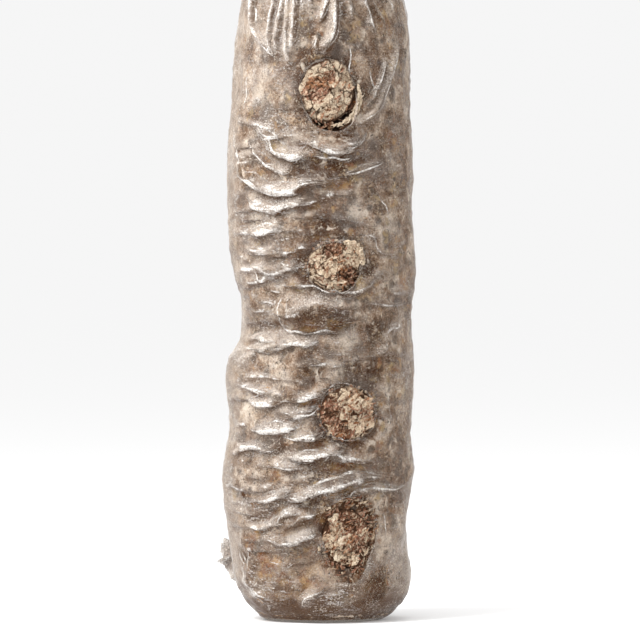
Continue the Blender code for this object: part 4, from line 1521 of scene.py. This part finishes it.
def add_top_gather(heap, film, ring, lift):
    """The shoulder above the side, the neck under the tie, and the pleated tuft over it."""
    angle = film.columns / RADIUS
    fold = 1 - 2 * np.abs(np.sin(TOP_PLEATS * swayed(angle) / 2)) ** 0.8
    neck = TIED_RADIUS * (1 + 0.16 * fold)
    rows, paint = [ring], [lift]
    for height in np.linspace(FILM_TOP - 1, TOP_TIE_HEIGHT - 2 * TIE_HALF, GATHER_ROWS)[1:]:
        share = float(end_share(np.float64(min(height, CROWN - 0.4))))
        t = between(FILM_TOP, TOP_TIE_HEIGHT - 2 * TIE_HALF, height)
        level = np.full(angle.shape, height)
        body = core_radius(angle, level) * share + top_pleats(angle, level)
        rows.append(placed(angle, np.maximum(body * (1 - t**3) + neck * t**3, neck), level))
        paint.append(np.full(angle.shape, 0.5 + 0.4 * t))
    for height in (TOP_TIE_HEIGHT - TIE_HALF, TOP_TIE_HEIGHT, TOP_TIE_HEIGHT + TIE_HALF):
        rows.append(placed(angle, neck, height + 0 * angle))
        paint.append(np.full(angle.shape, 0.9))
    # Painted highlight on the pleats' ridges
    crest = between(-0.35, 0.55, fold) * 0.7
    lift = np.concatenate(paint[::-1])
    add_tube(heap, rows[::-1], lift=lift, mist=0.3, crest=crest, lit=0.4)
    top = Matrix.Translation((0, 0, TOP_TIE_HEIGHT))
    length = TOP - TOP_TIE_HEIGHT
    add_frill(heap, top, length, 14.0, TOP_PLEATS, 0.50, seed=17, wide=0.30, thin=0.38, lean=4)
    add_frill(heap, top, 0.86 * length, 9.0, 9, 0.42, seed=18, wide=0.30, thin=0.30, lean=3)


def add_frill(
    heap, matrix, length, radius, pleats, depth, seed, wide=0.0, thin=0.0, lean=0.0, curl=0.0
):
    """Film past a tie, fanning out in ragged pleats. It runs out along Z from the tie's middle."""
    angle = np.linspace(-math.pi, math.pi, GATHER_COLUMNS, endpoint=False)
    fold = 1 - 2 * np.abs(np.sin(pleats * swayed(angle, seed) / 2)) ** 0.8
    grain = Grain(seed)
    round_x, round_y = np.cos(angle), np.sin(angle)
    ragged = np.clip(grain.rough(3 * round_x, 3 * round_y, 0, 1.2, 3), -1, 1)
    rows, shaded, crest = [], [], []
    for t in np.linspace(0, 1, GATHER_ROWS):
        spread = float(eased(1.1 * t)) * (1 - curl * t**3)
        crumple = 1.3 * spread * grain.rough(12 * round_x, 12 * round_y, 12 * t, 3, 2)
        reach_out = TIED_RADIUS + (radius - TIED_RADIUS) * spread
        reach_out = reach_out * (1 + (0.16 + depth * spread) * fold) + crumple
        along = TIE_HALF + (length - TIE_HALF) * (1 - 0.07 * (1 - ragged) * spread) * t
        across = reach_out * round_x * (1 + wide * spread) + lean * spread
        up = reach_out * round_y * (1 - thin * spread)
        rows.append(in_frame(np.stack([across, up, along], axis=-1), matrix))
        # Painted shade in the pleats' hollows and painted highlight on their ridges
        shaded.append(between(0.0, 0.9, -fold) * (0.3 + 0.3 * spread))
        crest.append(between(0.0, 0.8, fold) * (0.4 + 0.3 * t))
    crest, shaded = np.concatenate(crest), np.concatenate(shaded)
    add_tube(heap, rows, True, lift=0.6, mist=0.7, crest=crest, lit=0.5, shaded=shaded)


def add_foot(heap, film, ring):
    """The film drawn in under the base."""
    angle = film.columns / RADIUS
    rows = [ring]
    full = core_radius(angle, 0 * angle) * BASE_SHARE
    for share in (1.0, 0.9, 0.7, 0.4, 0.06):
        rows.append(placed(angle, full * share, 0.0 * angle + 0.5 * (share > 0.95)))
    add_tube(heap, rows, lift=0.1, mist=0.2)


def outward_frame(angle, height, droop=0.0, sunk=0.0):
    """A frame on the log's side: its Z points out of the log, and its Y up."""
    outward = Vector((math.sin(angle), -math.cos(angle), 0))
    radius = float(core_radius(np.array([angle]), np.array([float(height)]))[0]) - sunk
    across = Vector((math.cos(angle), math.sin(angle), 0))
    out = outward * math.cos(droop) - Vector((0, 0, 1)) * math.sin(droop)
    turn = Matrix((across, out.cross(across), out)).transposed().to_4x4()
    return Matrix.Translation(outward * radius + Vector((0, 0, height))) @ turn


def in_frame(points, matrix):
    turn, shift = np.array(matrix.to_3x3()), np.array(matrix.translation)
    return points @ turn.T + shift


def side_frame():
    return outward_frame(SIDE_GATHER_ANGLE, SIDE_GATHER_HEIGHT, SIDE_GATHER_DROOP, sunk=1.0)


def add_side_gather(heap):
    """A cone of pleats off the lower back left, its neck, and its crumpled tuft."""
    angle = np.linspace(-math.pi, math.pi, GATHER_COLUMNS, endpoint=False)
    fold = 1 - 2 * np.abs(np.sin(5.5 * swayed(angle, 0.4))) ** 0.9
    rows = []
    for t in np.linspace(0, 1, GATHER_ROWS):
        radius = TIED_RADIUS + 17 * (1 - t) ** 1.9
        deep = 0.16 * t + 0.10 * np.sin(math.pi * t)
        rows.append((radius * (1 + deep * fold), -6 + (SIDE_TIE_REACH + 3.5) * t))
    for reach_out in (SIDE_TIE_REACH, SIDE_TIE_REACH + TIE_HALF):
        rows.append((TIED_RADIUS * (1 + 0.16 * fold), reach_out))
    points = [
        np.stack([radius * np.cos(angle), radius * np.sin(angle), out + 0 * angle], axis=-1)
        for radius, out in rows
    ]
    add_tube(
        heap,
        [in_frame(row, side_frame()) for row in points],
        faced_in=True,
        lift=0.4,
        mist=0.4,
        # Painted highlight on the pleats' ridges and painted shade in their hollows
        crest=between(-0.3, 0.6, fold) * 0.6,
        lit=0.3,
        shaded=between(0.0, 0.9, -fold) * 0.3,
    )
    tie = side_frame() @ Matrix.Translation((0, 0, SIDE_TIE_REACH))
    add_frill(heap, tie, 17.0, 13.0, 11, 0.16, seed=41, thin=-0.10, curl=0.5)
    add_frill(heap, tie, 19.0, 9.6, 7, 0.24, seed=42, thin=-0.10, curl=0.3)
    add_frill(heap, tie, 17.0, 6.0, 5, 0.34, seed=43)


# ---------------------------------------------------------------- the spawn plugs
FACE_CELLS = 84  # along each side of the grid that is drawn on to a plug's face


def disc_grid(cells):
    """A square grid drawn on to a disc of radius 1."""
    line = np.linspace(-1, 1, cells + 1)
    u, v = np.meshgrid(line, line)
    return u * np.sqrt(1 - v * v / 2), v * np.sqrt(1 - u * u / 2)


def grid_quads(cells):
    side = cells + 1
    start = np.arange(cells)[:, None] * side + np.arange(cells)[None, :]
    return np.stack([start, start + 1, start + side + 1, start + side], axis=-1).reshape(-1, 4)


def grid_edge(cells):
    """The corners round a square grid, counterclockwise."""
    side = cells + 1
    return np.concatenate(
        [
            np.arange(cells),
            np.arange(cells) * side + cells,
            np.arange(side * side - 1, side * cells, -1),
            np.arange(cells, 0, -1) * side,
        ]
    )


def plates(x, y, seeds, stretch, lean):
    """Broken plates: the nearest seed of each point, and how near a crack it is."""
    turn = np.array([[math.cos(lean), math.sin(lean)], [-math.sin(lean), math.cos(lean)]])
    place = np.stack([x.ravel(), y.ravel()], axis=1) @ turn.T / [stretch, 1]
    spots = seeds @ turn.T / [stretch, 1]
    away = np.hypot(*(place[:, None, :] - spots[None, :, :]).transpose(2, 0, 1))
    order = np.argsort(away, axis=1)[:, :2]
    rows = np.arange(len(place))
    first, second = away[rows, order[:, 0]], away[rows, order[:, 1]]
    return order[:, 0].reshape(x.shape), (second - first).reshape(x.shape)


def plug_face(number, plug):
    """Corners of a plug's broken face in its own frame, and what each is made of."""
    chance = np.random.default_rng(100 + number)
    grain = Grain(60 + number)
    u, v = disc_grid(FACE_CELLS)
    bearing, share = np.arctan2(v, u), np.hypot(u, v)
    edge = 1 + 0.035 * grain.rough(2.2 * np.cos(bearing), 2.2 * np.sin(bearing), 0, 1, 3)
    a, b = plug["half_width"] - 0.1, plug["half_height"] - 0.1
    x, y = u * a * edge, v * b * edge
    wander = 1.1 * grain.rough(x, y, 3, 3.1, 2)
    crust, shard = 34, 300
    crust_at = chance.uniform(-1, 1, (crust, 2)) * [a, b]
    shard_at = chance.uniform(-1, 1, (shard, 2)) * [a, b]
    plate, crack = plates(x + wander, y - wander, crust_at, 1.3, math.radians(60))
    bit, seam = plates(x - wander, y + wander, shard_at, 2.1, math.radians(38))
    level = chance.normal(0, 0.42, crust)
    step = chance.normal(0, 0.12 + 0.8 * plug["rough"], shard)
    tilt = chance.normal(0, 0.09, (crust, 2))
    bare = bare_share(plug, x / a, y / b) + 0.35 * grain.rough(x, y, 13, 5.5, 3)
    chip = between(-0.12, 0.12, bare - chance.uniform(0.2, 0.9, shard)[bit])
    tone = 0.55 * chance.uniform(0, 1, shard)[bit] + 0.45 * chance.uniform(0, 1, crust)[plate]
    local = np.stack([x, y], axis=-1) - crust_at[plate]
    height = level[plate] + step[bit] * (0.15 + 0.85 * chip) + (tilt[plate] * local).sum(axis=-1)
    height += plug["rough"] * grain.rough(x, y, 0, 1.5, 3) + 0.6 * grain.rough(x, y, 7, 7, 2)
    curl = np.abs(grain.rough(x, y + 0.5 * x, 41, 4.6, 3))
    curled = (1 - eased(curl / 0.10)) * eased(0.5 + 2 * grain.rough(x, y, 51, 8, 2))
    curl = np.abs(grain.rough(x + 0.4 * y, y, 71, 2.6, 2))
    finer = (1 - eased(curl / 0.13)) * eased(0.3 + 2 * grain.rough(x, y, 81, 7, 2))
    curled = np.maximum(curled, finer)
    torn = eased(0.5 + 1.6 * grain.rough(x, y, 31, 6, 2))
    gap = (1 - eased(crack / (0.25 + 0.55 * torn))) * (0.2 + 0.8 * torn)
    height -= 0.6 * gap + 0.2 * chip * (1 - eased(seam / 0.4)) + 0.35 * curled
    height += 1.4 * (1 - share**2) - 0.1
    height -= 1.3 * between(0.93, 1.02, share)
    height -= x * x / (2 * RADIUS)
    rim = between(0.90, 0.96, share) * (0.75 + 0.9 * grain.rough(x, y, 21, 5, 2))
    if plug.get("rim_cracks"):
        rim += between(0.0, 0.5, grain.rough(x, y, 61, 4, 3) + 0.10)
    deep = np.clip(0.95 * gap + 0.4 * chip * (1 - eased(seam / 0.35)) + rim + 0.8 * curled, 0, 1)
    return x, y, height, dict(chip=chip, tone=tone, deep=deep)


def bare_share(plug, across, up):
    """How likely bare wood shows at each place on a plug's face."""
    share = np.full(across.shape, 0.24)
    for x, y, radius in plug["bare"]:
        away = np.hypot(across - x, up - y) / radius
        share = np.maximum(share, 0.95 * (1 - eased((away - 0.7) / 0.6)))
    return share


def plug_piece(number, plug, look):
    x, y, height, paint = plug_face(number, plug)
    heap = Heap()
    edge = grid_edge(FACE_CELLS)
    face = np.stack([x, y, height], axis=-1).reshape(-1, 3)
    walls = [face[edge]]
    for depth, taper in ((-4.0, 1.0), (-9.0, 0.97), (-PLUG_DEPTH, 0.82)):
        ring = face[edge] * [taper, taper, 0] + [0, 0, depth]
        walls.append(ring)
    points = np.concatenate([face] + walls[1:] + [[(0, 0, -PLUG_DEPTH)]])
    count, start = len(edge), len(face)
    faces = grid_quads(FACE_CELLS).tolist()
    rings = [edge] + [start + n * count + np.arange(count) for n in range(3)]
    for upper, lower in zip(rings, rings[1:]):
        ahead_u, ahead_l = np.roll(upper, -1), np.roll(lower, -1)
        faces += np.stack([upper, lower, ahead_l, ahead_u], axis=-1).tolist()
    faces += fan(len(points) - 1, rings[-1][::-1])
    frame_of = outward_frame(math.asin(plug["x"] / RADIUS), plug["height"])
    paint = with_tail(paint, len(points) - len(face), 0.6)
    heap.add(in_frame(points, frame_of), faces, **paint)
    add_flakes(heap, number, plug, face, frame_of)
    add_shavings(heap, number, plug, face, frame_of)
    add_crumbs(heap, number, plug, frame_of)
    if "crust_edge" in plug:
        add_crust_edge(heap, number, plug, frame_of)
    return heap.piece(f"spawn_{number}", look, smooth=False)


FLAKE_SIDES = 9
FLAKE_LIE = math.radians(48)  # the way most flakes and shavings point, from +X
FLAKE_THICK = 0.22


def flake(chance, length, width):
    """A thin plate of crust with a ragged outline, lying in the XY plane."""
    turn = np.linspace(0, 2 * math.pi, FLAKE_SIDES, endpoint=False) + chance.uniform(0, 1)
    ragged = chance.uniform(0.6, 1.2, FLAKE_SIDES)
    x, y = length / 2 * ragged * np.cos(turn), width / 2 * ragged * np.sin(turn)
    curl = chance.uniform(-0.05, 0.09) * x * x
    upper = np.stack([x, y, curl], axis=-1)
    middle = [(0, 0, 0.05), (0, 0, -0.3)]
    points = np.concatenate([upper, upper - [0, 0, FLAKE_THICK], middle])
    ring = np.arange(FLAKE_SIDES)
    ahead = (ring + 1) % FLAKE_SIDES
    faces = fan(2 * FLAKE_SIDES, ring) + fan(2 * FLAKE_SIDES + 1, (ring + FLAKE_SIDES)[::-1])
    faces += np.stack([ring, ring + FLAKE_SIDES, ahead + FLAKE_SIDES, ahead], axis=-1).tolist()
    return points, faces


def face_height(face, x, y):
    """Height of a plug's face at its corner nearest to (x, y)."""
    return face[np.argmin(np.hypot(face[:, 0] - x, face[:, 1] - y)), 2]


def add_flakes(heap, number, plug, face, frame_of):
    """Plates of crust, and small chips where the wood is bare, mostly one way."""
    chance = np.random.default_rng(400 + number)
    for _ in range(plug["flakes"]):
        bearing, share = chance.uniform(-math.pi, math.pi), math.sqrt(chance.uniform(0, 0.86))
        across, up = share * math.cos(bearing), share * math.sin(bearing)
        x, y = across * plug["half_width"], up * plug["half_height"]
        bare = chance.uniform() < float(bare_share(plug, np.array(across), np.array(up)))
        large = not bare and chance.uniform() < 0.30
        length = chance.uniform(3.6, 8.5) if large else chance.uniform(1.2, 3.8)
        width = length * (chance.uniform(0.3, 0.65) if large else chance.uniform(0.18, 0.42))
        shape = flake(chance, length, width)
        tilt = 0.07 if large else 1.4 * plug["rough"]
        turns = chance.normal(FLAKE_LIE, 0.6), chance.normal(0, tilt), chance.normal(0, tilt)
        place = [x, y, face_height(face, x, y) + chance.uniform(0.0, 1.3 * plug["rough"])]
        tone = chance.uniform(0.35, 1) if large else chance.uniform(0, 1)
        deep = 0 if large else chance.uniform(0, 0.5) ** 2
        lay(heap, frame_of, shape, turns, place, chip=float(bare), tone=tone, deep=deep)


def shaving(length, width, thick, bend):
    """A thin curved chip of wood lying in the XY plane."""
    t = np.linspace(-0.5, 0.5, 5)
    rows = []
    for s in t:
        taper = 1 - 0.75 * (2 * abs(s)) ** 3
        lift = bend * (0.25 - s * s) * 4
        for side, up in ((-1, 0), (1, 0), (1, 1), (-1, 1)):
            rows.append((s * length, side * width / 2 * taper, lift + up * thick))
    faces = []
    for n in range(4):
        for k in range(4):
            a, b = n * 4 + k, n * 4 + (k + 1) % 4
            faces.append([a, b, b + 4, a + 4])
    faces += [[3, 2, 1, 0], [16, 17, 18, 19]]
    return np.array(rows), faces


def turned_about(points, heading, pitch, roll):
    turn = Matrix.Rotation(heading, 3, "Z") @ Matrix.Rotation(pitch, 3, "Y")
    turn = turn @ Matrix.Rotation(roll, 3, "X")
    return points @ np.array(turn).T


def lay(heap, frame_of, shape, turns, place, **paint):
    """Adds a loose bit to a plug: turned about, and set down at a place on its face."""
    points, faces = shape
    heap.add(in_frame(turned_about(points, *turns) + place, frame_of), faces, **paint)


def add_shavings(heap, number, plug, face, frame_of):
    chance = np.random.default_rng(200 + number)
    for _ in range(plug["shavings"]):
        spot = chance.uniform(-0.92, 0.92, 2)
        if spot @ spot > 0.85:
            continue
        x, y = spot * [plug["half_width"], plug["half_height"]]
        length = chance.uniform(1.6, 5.4)
        shape = shaving(
            length, chance.uniform(0.5, 1.3), chance.uniform(0.2, 0.4), chance.uniform(0, 0.5)
        )
        turns = chance.normal(FLAKE_LIE, 0.6), chance.normal(0, 0.2), chance.normal(0, 0.35)
        place = [x, y, face_height(face, x, y) + 0.1]
        tone = chance.uniform(0.1, 0.9)
        lay(heap, frame_of, shape, turns, place, chip=1, tone=tone, deep=0)


def crumb(chance, radius):
    """A small rough lump."""
    theta = np.linspace(0, math.pi, 6)[1:-1]
    phi = np.linspace(0, 2 * math.pi, 7, endpoint=False)
    ring, turn = np.meshgrid(theta, phi, indexing="ij")
    points = np.stack(
        [np.sin(ring) * np.cos(turn), np.sin(ring) * np.sin(turn), np.cos(ring)], axis=-1
    ).reshape(-1, 3)
    points = np.concatenate([points, [(0, 0, 1), (0, 0, -1)]])
    points = points * (1 + chance.uniform(-0.28, 0.28, (len(points), 1)))
    faces = tube_quads(4, 7).tolist() + fan(28, range(7)) + fan(29, range(27, 20, -1))
    return points * radius * chance.uniform(0.6, 1.2, 3), faces


def add_crust_edge(heap, number, plug, frame_of):
    """A band of crust left on the film's edge, outside the crack round a plug."""
    chance = np.random.default_rng(500 + number)
    band = plug["crust_edge"]
    low, high = (math.radians(limit) for limit in band["span"])
    for _ in range(band["count"]):
        t = chance.uniform(0, 1)
        bearing = low + t * (high - low)
        inner = float(plug_reach(plug, bearing))
        away = inner + band["away"] + 2.8 * chance.uniform(0, 1) * math.sin(math.pi * t)
        x, y = away * math.cos(bearing), away * math.sin(bearing)
        if band["flat"]:
            shape = flake(chance, chance.uniform(1.8, 4.4), chance.uniform(0.8, 1.7))
        else:
            shape = crumb(chance, chance.uniform(0.6, 1.7))
        heading = chance.normal(bearing + math.pi / 2, 0.35)
        turns = heading, chance.normal(0, 0.15), chance.normal(0, 0.2)
        place = [x, y, -x * x / (2 * RADIUS) + 0.7 + chance.uniform(-0.5, 0.6)]
        tone = chance.uniform(0.5, 1)
        lay(heap, frame_of, shape, turns, place, chip=0, tone=tone, deep=0)


def add_crumbs(heap, number, plug, frame_of):
    """Crumbs in the gap between a plug and the film's edge."""
    chance = np.random.default_rng(300 + number)
    for _ in range(plug["crumbs"]):
        bearing = chance.uniform(-math.pi, math.pi)
        inner = float(plug_reach(plug, bearing))
        outer = float(round_curve(plug["hole"], np.array(bearing)))
        away = inner + (outer - inner) * chance.uniform(-0.1, 1.0)
        x, y = away * math.cos(bearing), away * math.sin(bearing)
        wide = outer - inner > 3
        if wide and chance.uniform() < 0.7:
            shape = shaving(
                chance.uniform(2.0, 6.0), chance.uniform(0.5, 1.4), 0.35, chance.uniform(0, 0.5)
            )
            way = FLAKE_LIE if plug.get("one_way") else bearing + math.pi / 2
            turns = chance.normal(way, 0.7), chance.normal(0, 0.25), chance.normal(0, 0.4)
        else:
            shape, turns = crumb(chance, chance.uniform(0.35, 1.15)), (0, 0, 0)
        sink = -x * x / (2 * RADIUS) - 1.4 + chance.uniform(-0.6, 0.4) - plug.get("crumb_depth", 0)
        chip = float(chance.uniform() < plug.get("crumb_wood", 0.65))
        tone, deep = chance.uniform(0.1, 0.8), chance.uniform(0, 0.35)
        lay(heap, frame_of, shape, turns, [x, y, sink], chip=chip, tone=tone, deep=deep)


# ---------------------------------------------------------------- the ties
def twine_along(heap, path, radius=TWINE):
    """Three-ply twine along a path of points."""
    path = np.asarray(path, float)
    ahead = np.gradient(path, axis=0)
    ahead /= np.linalg.norm(ahead, axis=1)[:, None]
    run = np.concatenate([[0], np.cumsum(np.linalg.norm(np.diff(path, axis=0), axis=1))])
    side = np.cross(ahead[0], (0.3, 0.2, 0.93))
    rings = []
    for point, forward, done in zip(path, ahead, run):
        side = side - forward * (side @ forward)
        side /= np.linalg.norm(side)
        up = np.cross(forward, side)
        turn = np.linspace(0, 2 * math.pi, TWINE_SIDES, endpoint=False)
        bulge = radius * (0.84 + 0.16 * np.cos(3 * turn))
        spin = turn + 2 * math.pi * done / TWINE_LAY
        rings.append(
            point + bulge[:, None] * (np.cos(spin)[:, None] * side + np.sin(spin)[:, None] * up)
        )
    points = np.concatenate(rings + [path[:1], path[-1:]])
    faces = tube_quads(len(rings), TWINE_SIDES).tolist()
    end = np.arange(TWINE_SIDES)
    faces += fan(len(points) - 2, end)
    faces += fan(len(points) - 1, (len(rings) - 1) * TWINE_SIDES + end[::-1])
    heap.add(points, faces)


def even_path(points, pitch=0.5):
    """A smooth line through points, with a corner every pitch millimetres."""
    line = smooth_line(points, 12)
    run = np.concatenate([[0], np.cumsum(np.linalg.norm(np.diff(line, axis=0), axis=1))])
    even = np.arange(0, run[-1], pitch)
    return np.stack([np.interp(even, run, column) for column in line.T], axis=1)


def tie_piece(name, matrix, look):
    """Twine wound round a neck, hitched over its own turns, with two short ends."""
    heap = Heap()
    ring = NECK_RADIUS + TWINE + 0.3
    turn = np.linspace(0, 2 * math.pi * TIE_TURNS, TIE_CORNERS)
    pitch = 1.95 * TWINE
    rise = pitch * (turn / (2 * math.pi) - TIE_TURNS / 2)
    twine_along(heap, in_frame(placed(turn, ring, rise), matrix))
    half = pitch * TIE_TURNS / 2 + TWINE
    for shift in (-0.9, 0.9):
        loop = np.linspace(-0.2, 2 * math.pi + 0.2, HITCH_CORNERS)
        across = shift + 0.25 * np.sin(loop)
        out = ring + 1.15 * TWINE * np.cos(loop) + 0.7
        hitch = np.stack([across, -out, (half + 0.2) * np.sin(loop)], axis=-1)
        twine_along(heap, in_frame(hitch, matrix), KNOT_TWINE)
    ends = [
        [(-0.9, -ring - 1.2, 0), (-2.4, -ring - 2.6, 1.0), (-5.0, -ring - 3.0, -0.6),
         (-6.6, -ring - 2.6, -4.0), (-7.0, -ring - 1.9, -8.0)],
        [(0.9, -ring - 1.2, 0), (2.6, -ring - 2.8, 0.6), (5.2, -ring - 3.2, -1.6),
         (6.2, -ring - 2.6, -5.0), (7.4, -ring - 2.2, -9.5)],
    ]
    for end in ends:
        twine_along(heap, in_frame(even_path(end), matrix), KNOT_TWINE)
    return heap.piece(name, look)


# ---------------------------------------------------------------- the log
def dress(piece, slot, *nodes):
    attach(piece, "root")
    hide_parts(*nodes)


def build_log():
    dress(block_piece(), "sawdust", "substrate_block")
    dress(film_piece(), "film", "film_bag")
    for number, plug in enumerate(PLUGS, start=1):
        look = spawn_look(number, plug["grey"])
        dress(plug_piece(number, plug, look), "spawn", f"spawn_plug_{number}")
    twine = twine_look()
    top = Matrix.Translation((0, 0, TOP_TIE_HEIGHT))
    dress(tie_piece("top_twine", top, twine), "twine", "top_tie")
    side = side_frame() @ Matrix.Translation((0, 0, SIDE_TIE_REACH))
    dress(tie_piece("side_twine", side, twine), "twine", "side_tie")


# ---------------------------------------------------------------- the studio
FRAME_PIXELS = 640
PIXELS_PER_MM = 1.864
BASE_PIXEL = 623.0  # the log's foot, down from the top of the frame
CAMERA_AWAY = 4.0  # metres from the log's axis
CAMERA_RISE = math.radians(1.5)
SENSOR = 36.0
ROOM_WHITE = 0.92  # strength of the plain white world
FLOOR_SHADE = 0.88
LIT_HEIGHT = 0.17  # metres up the log, where the soft boxes look


def add_floor():
    bpy.ops.mesh.primitive_circle_add(vertices=96, radius=400, fill_type="NGON")
    floor = bpy.context.object
    floor.name = "floor"
    look = Look("pale_floor", Roughness=0.9, Specular_IOR_Level=0.0)
    glow = ROOM_WHITE * (1 - FLOOR_SHADE)  # makes the far floor as bright as the room
    look.set(Base_Color=[FLOOR_SHADE] * 3, Emission_Color=[1.0] * 3, Emission_Strength=glow)
    floor.data.materials.append(look.material)


def aimed(name, data, target, back, away):
    """A lamp or camera that looks at its target from away metres back."""
    made = bpy.data.objects.new(name, data)
    made.location = target + back * away
    made.rotation_euler = (-back).to_track_quat("-Z", "Y").to_euler()
    bpy.context.scene.collection.objects.link(made)
    return made


def add_light(name, azimuth, elevation, away, size, power):
    """A soft box looking at the log's middle. Azimuth is from the front towards +X."""
    level = math.cos(elevation)
    back = Vector((math.sin(azimuth) * level, -math.cos(azimuth) * level, math.sin(elevation)))
    lamp = bpy.data.lights.new(name, "AREA")
    lamp.shape = "RECTANGLE"
    lamp.size, lamp.size_y = size
    lamp.energy = power
    aimed(name, lamp, Vector((0, 0, LIT_HEIGHT)), back, away)


def add_camera():
    """At the photograph's angle and scale, with the log's foot at BASE_PIXEL."""
    frame_height = FRAME_PIXELS / PIXELS_PER_MM * MM
    front_away = CAMERA_AWAY - RADIUS * MM
    lens = bpy.data.cameras.new("camera")
    lens.sensor_width = SENSOR
    lens.lens = SENSOR * front_away / frame_height
    middle_height = (BASE_PIXEL - FRAME_PIXELS / 2) / PIXELS_PER_MM * MM
    back = Vector((0, -math.cos(CAMERA_RISE), math.sin(CAMERA_RISE)))
    target = Vector((0, 0, middle_height / math.cos(CAMERA_RISE)))
    bpy.context.scene.camera = aimed("camera", lens, target, back, CAMERA_AWAY)


def add_studio():
    world = bpy.data.worlds.new("studio")
    world.use_nodes = True
    sky = world.node_tree.nodes["Background"]
    sky.inputs["Color"].default_value = (1.0, 1.0, 1.0, 1)
    sky.inputs["Strength"].default_value = ROOM_WHITE
    bpy.context.scene.world = world
    bpy.context.scene.view_settings.view_transform = "Standard"
    add_floor()
    add_light("key", math.radians(-50), math.radians(42), 1.1, (0.55, 0.9), 19.2)
    add_light("top", math.radians(-20), math.radians(72), 1.3, (0.9, 0.9), 4.3)
    add_light("side", math.radians(70), math.radians(20), 1.3, (0.08, 0.7), 2.0)
    add_camera()


def main():
    build_log()
    add_studio()
    bpy.context.view_layer.update()


main()
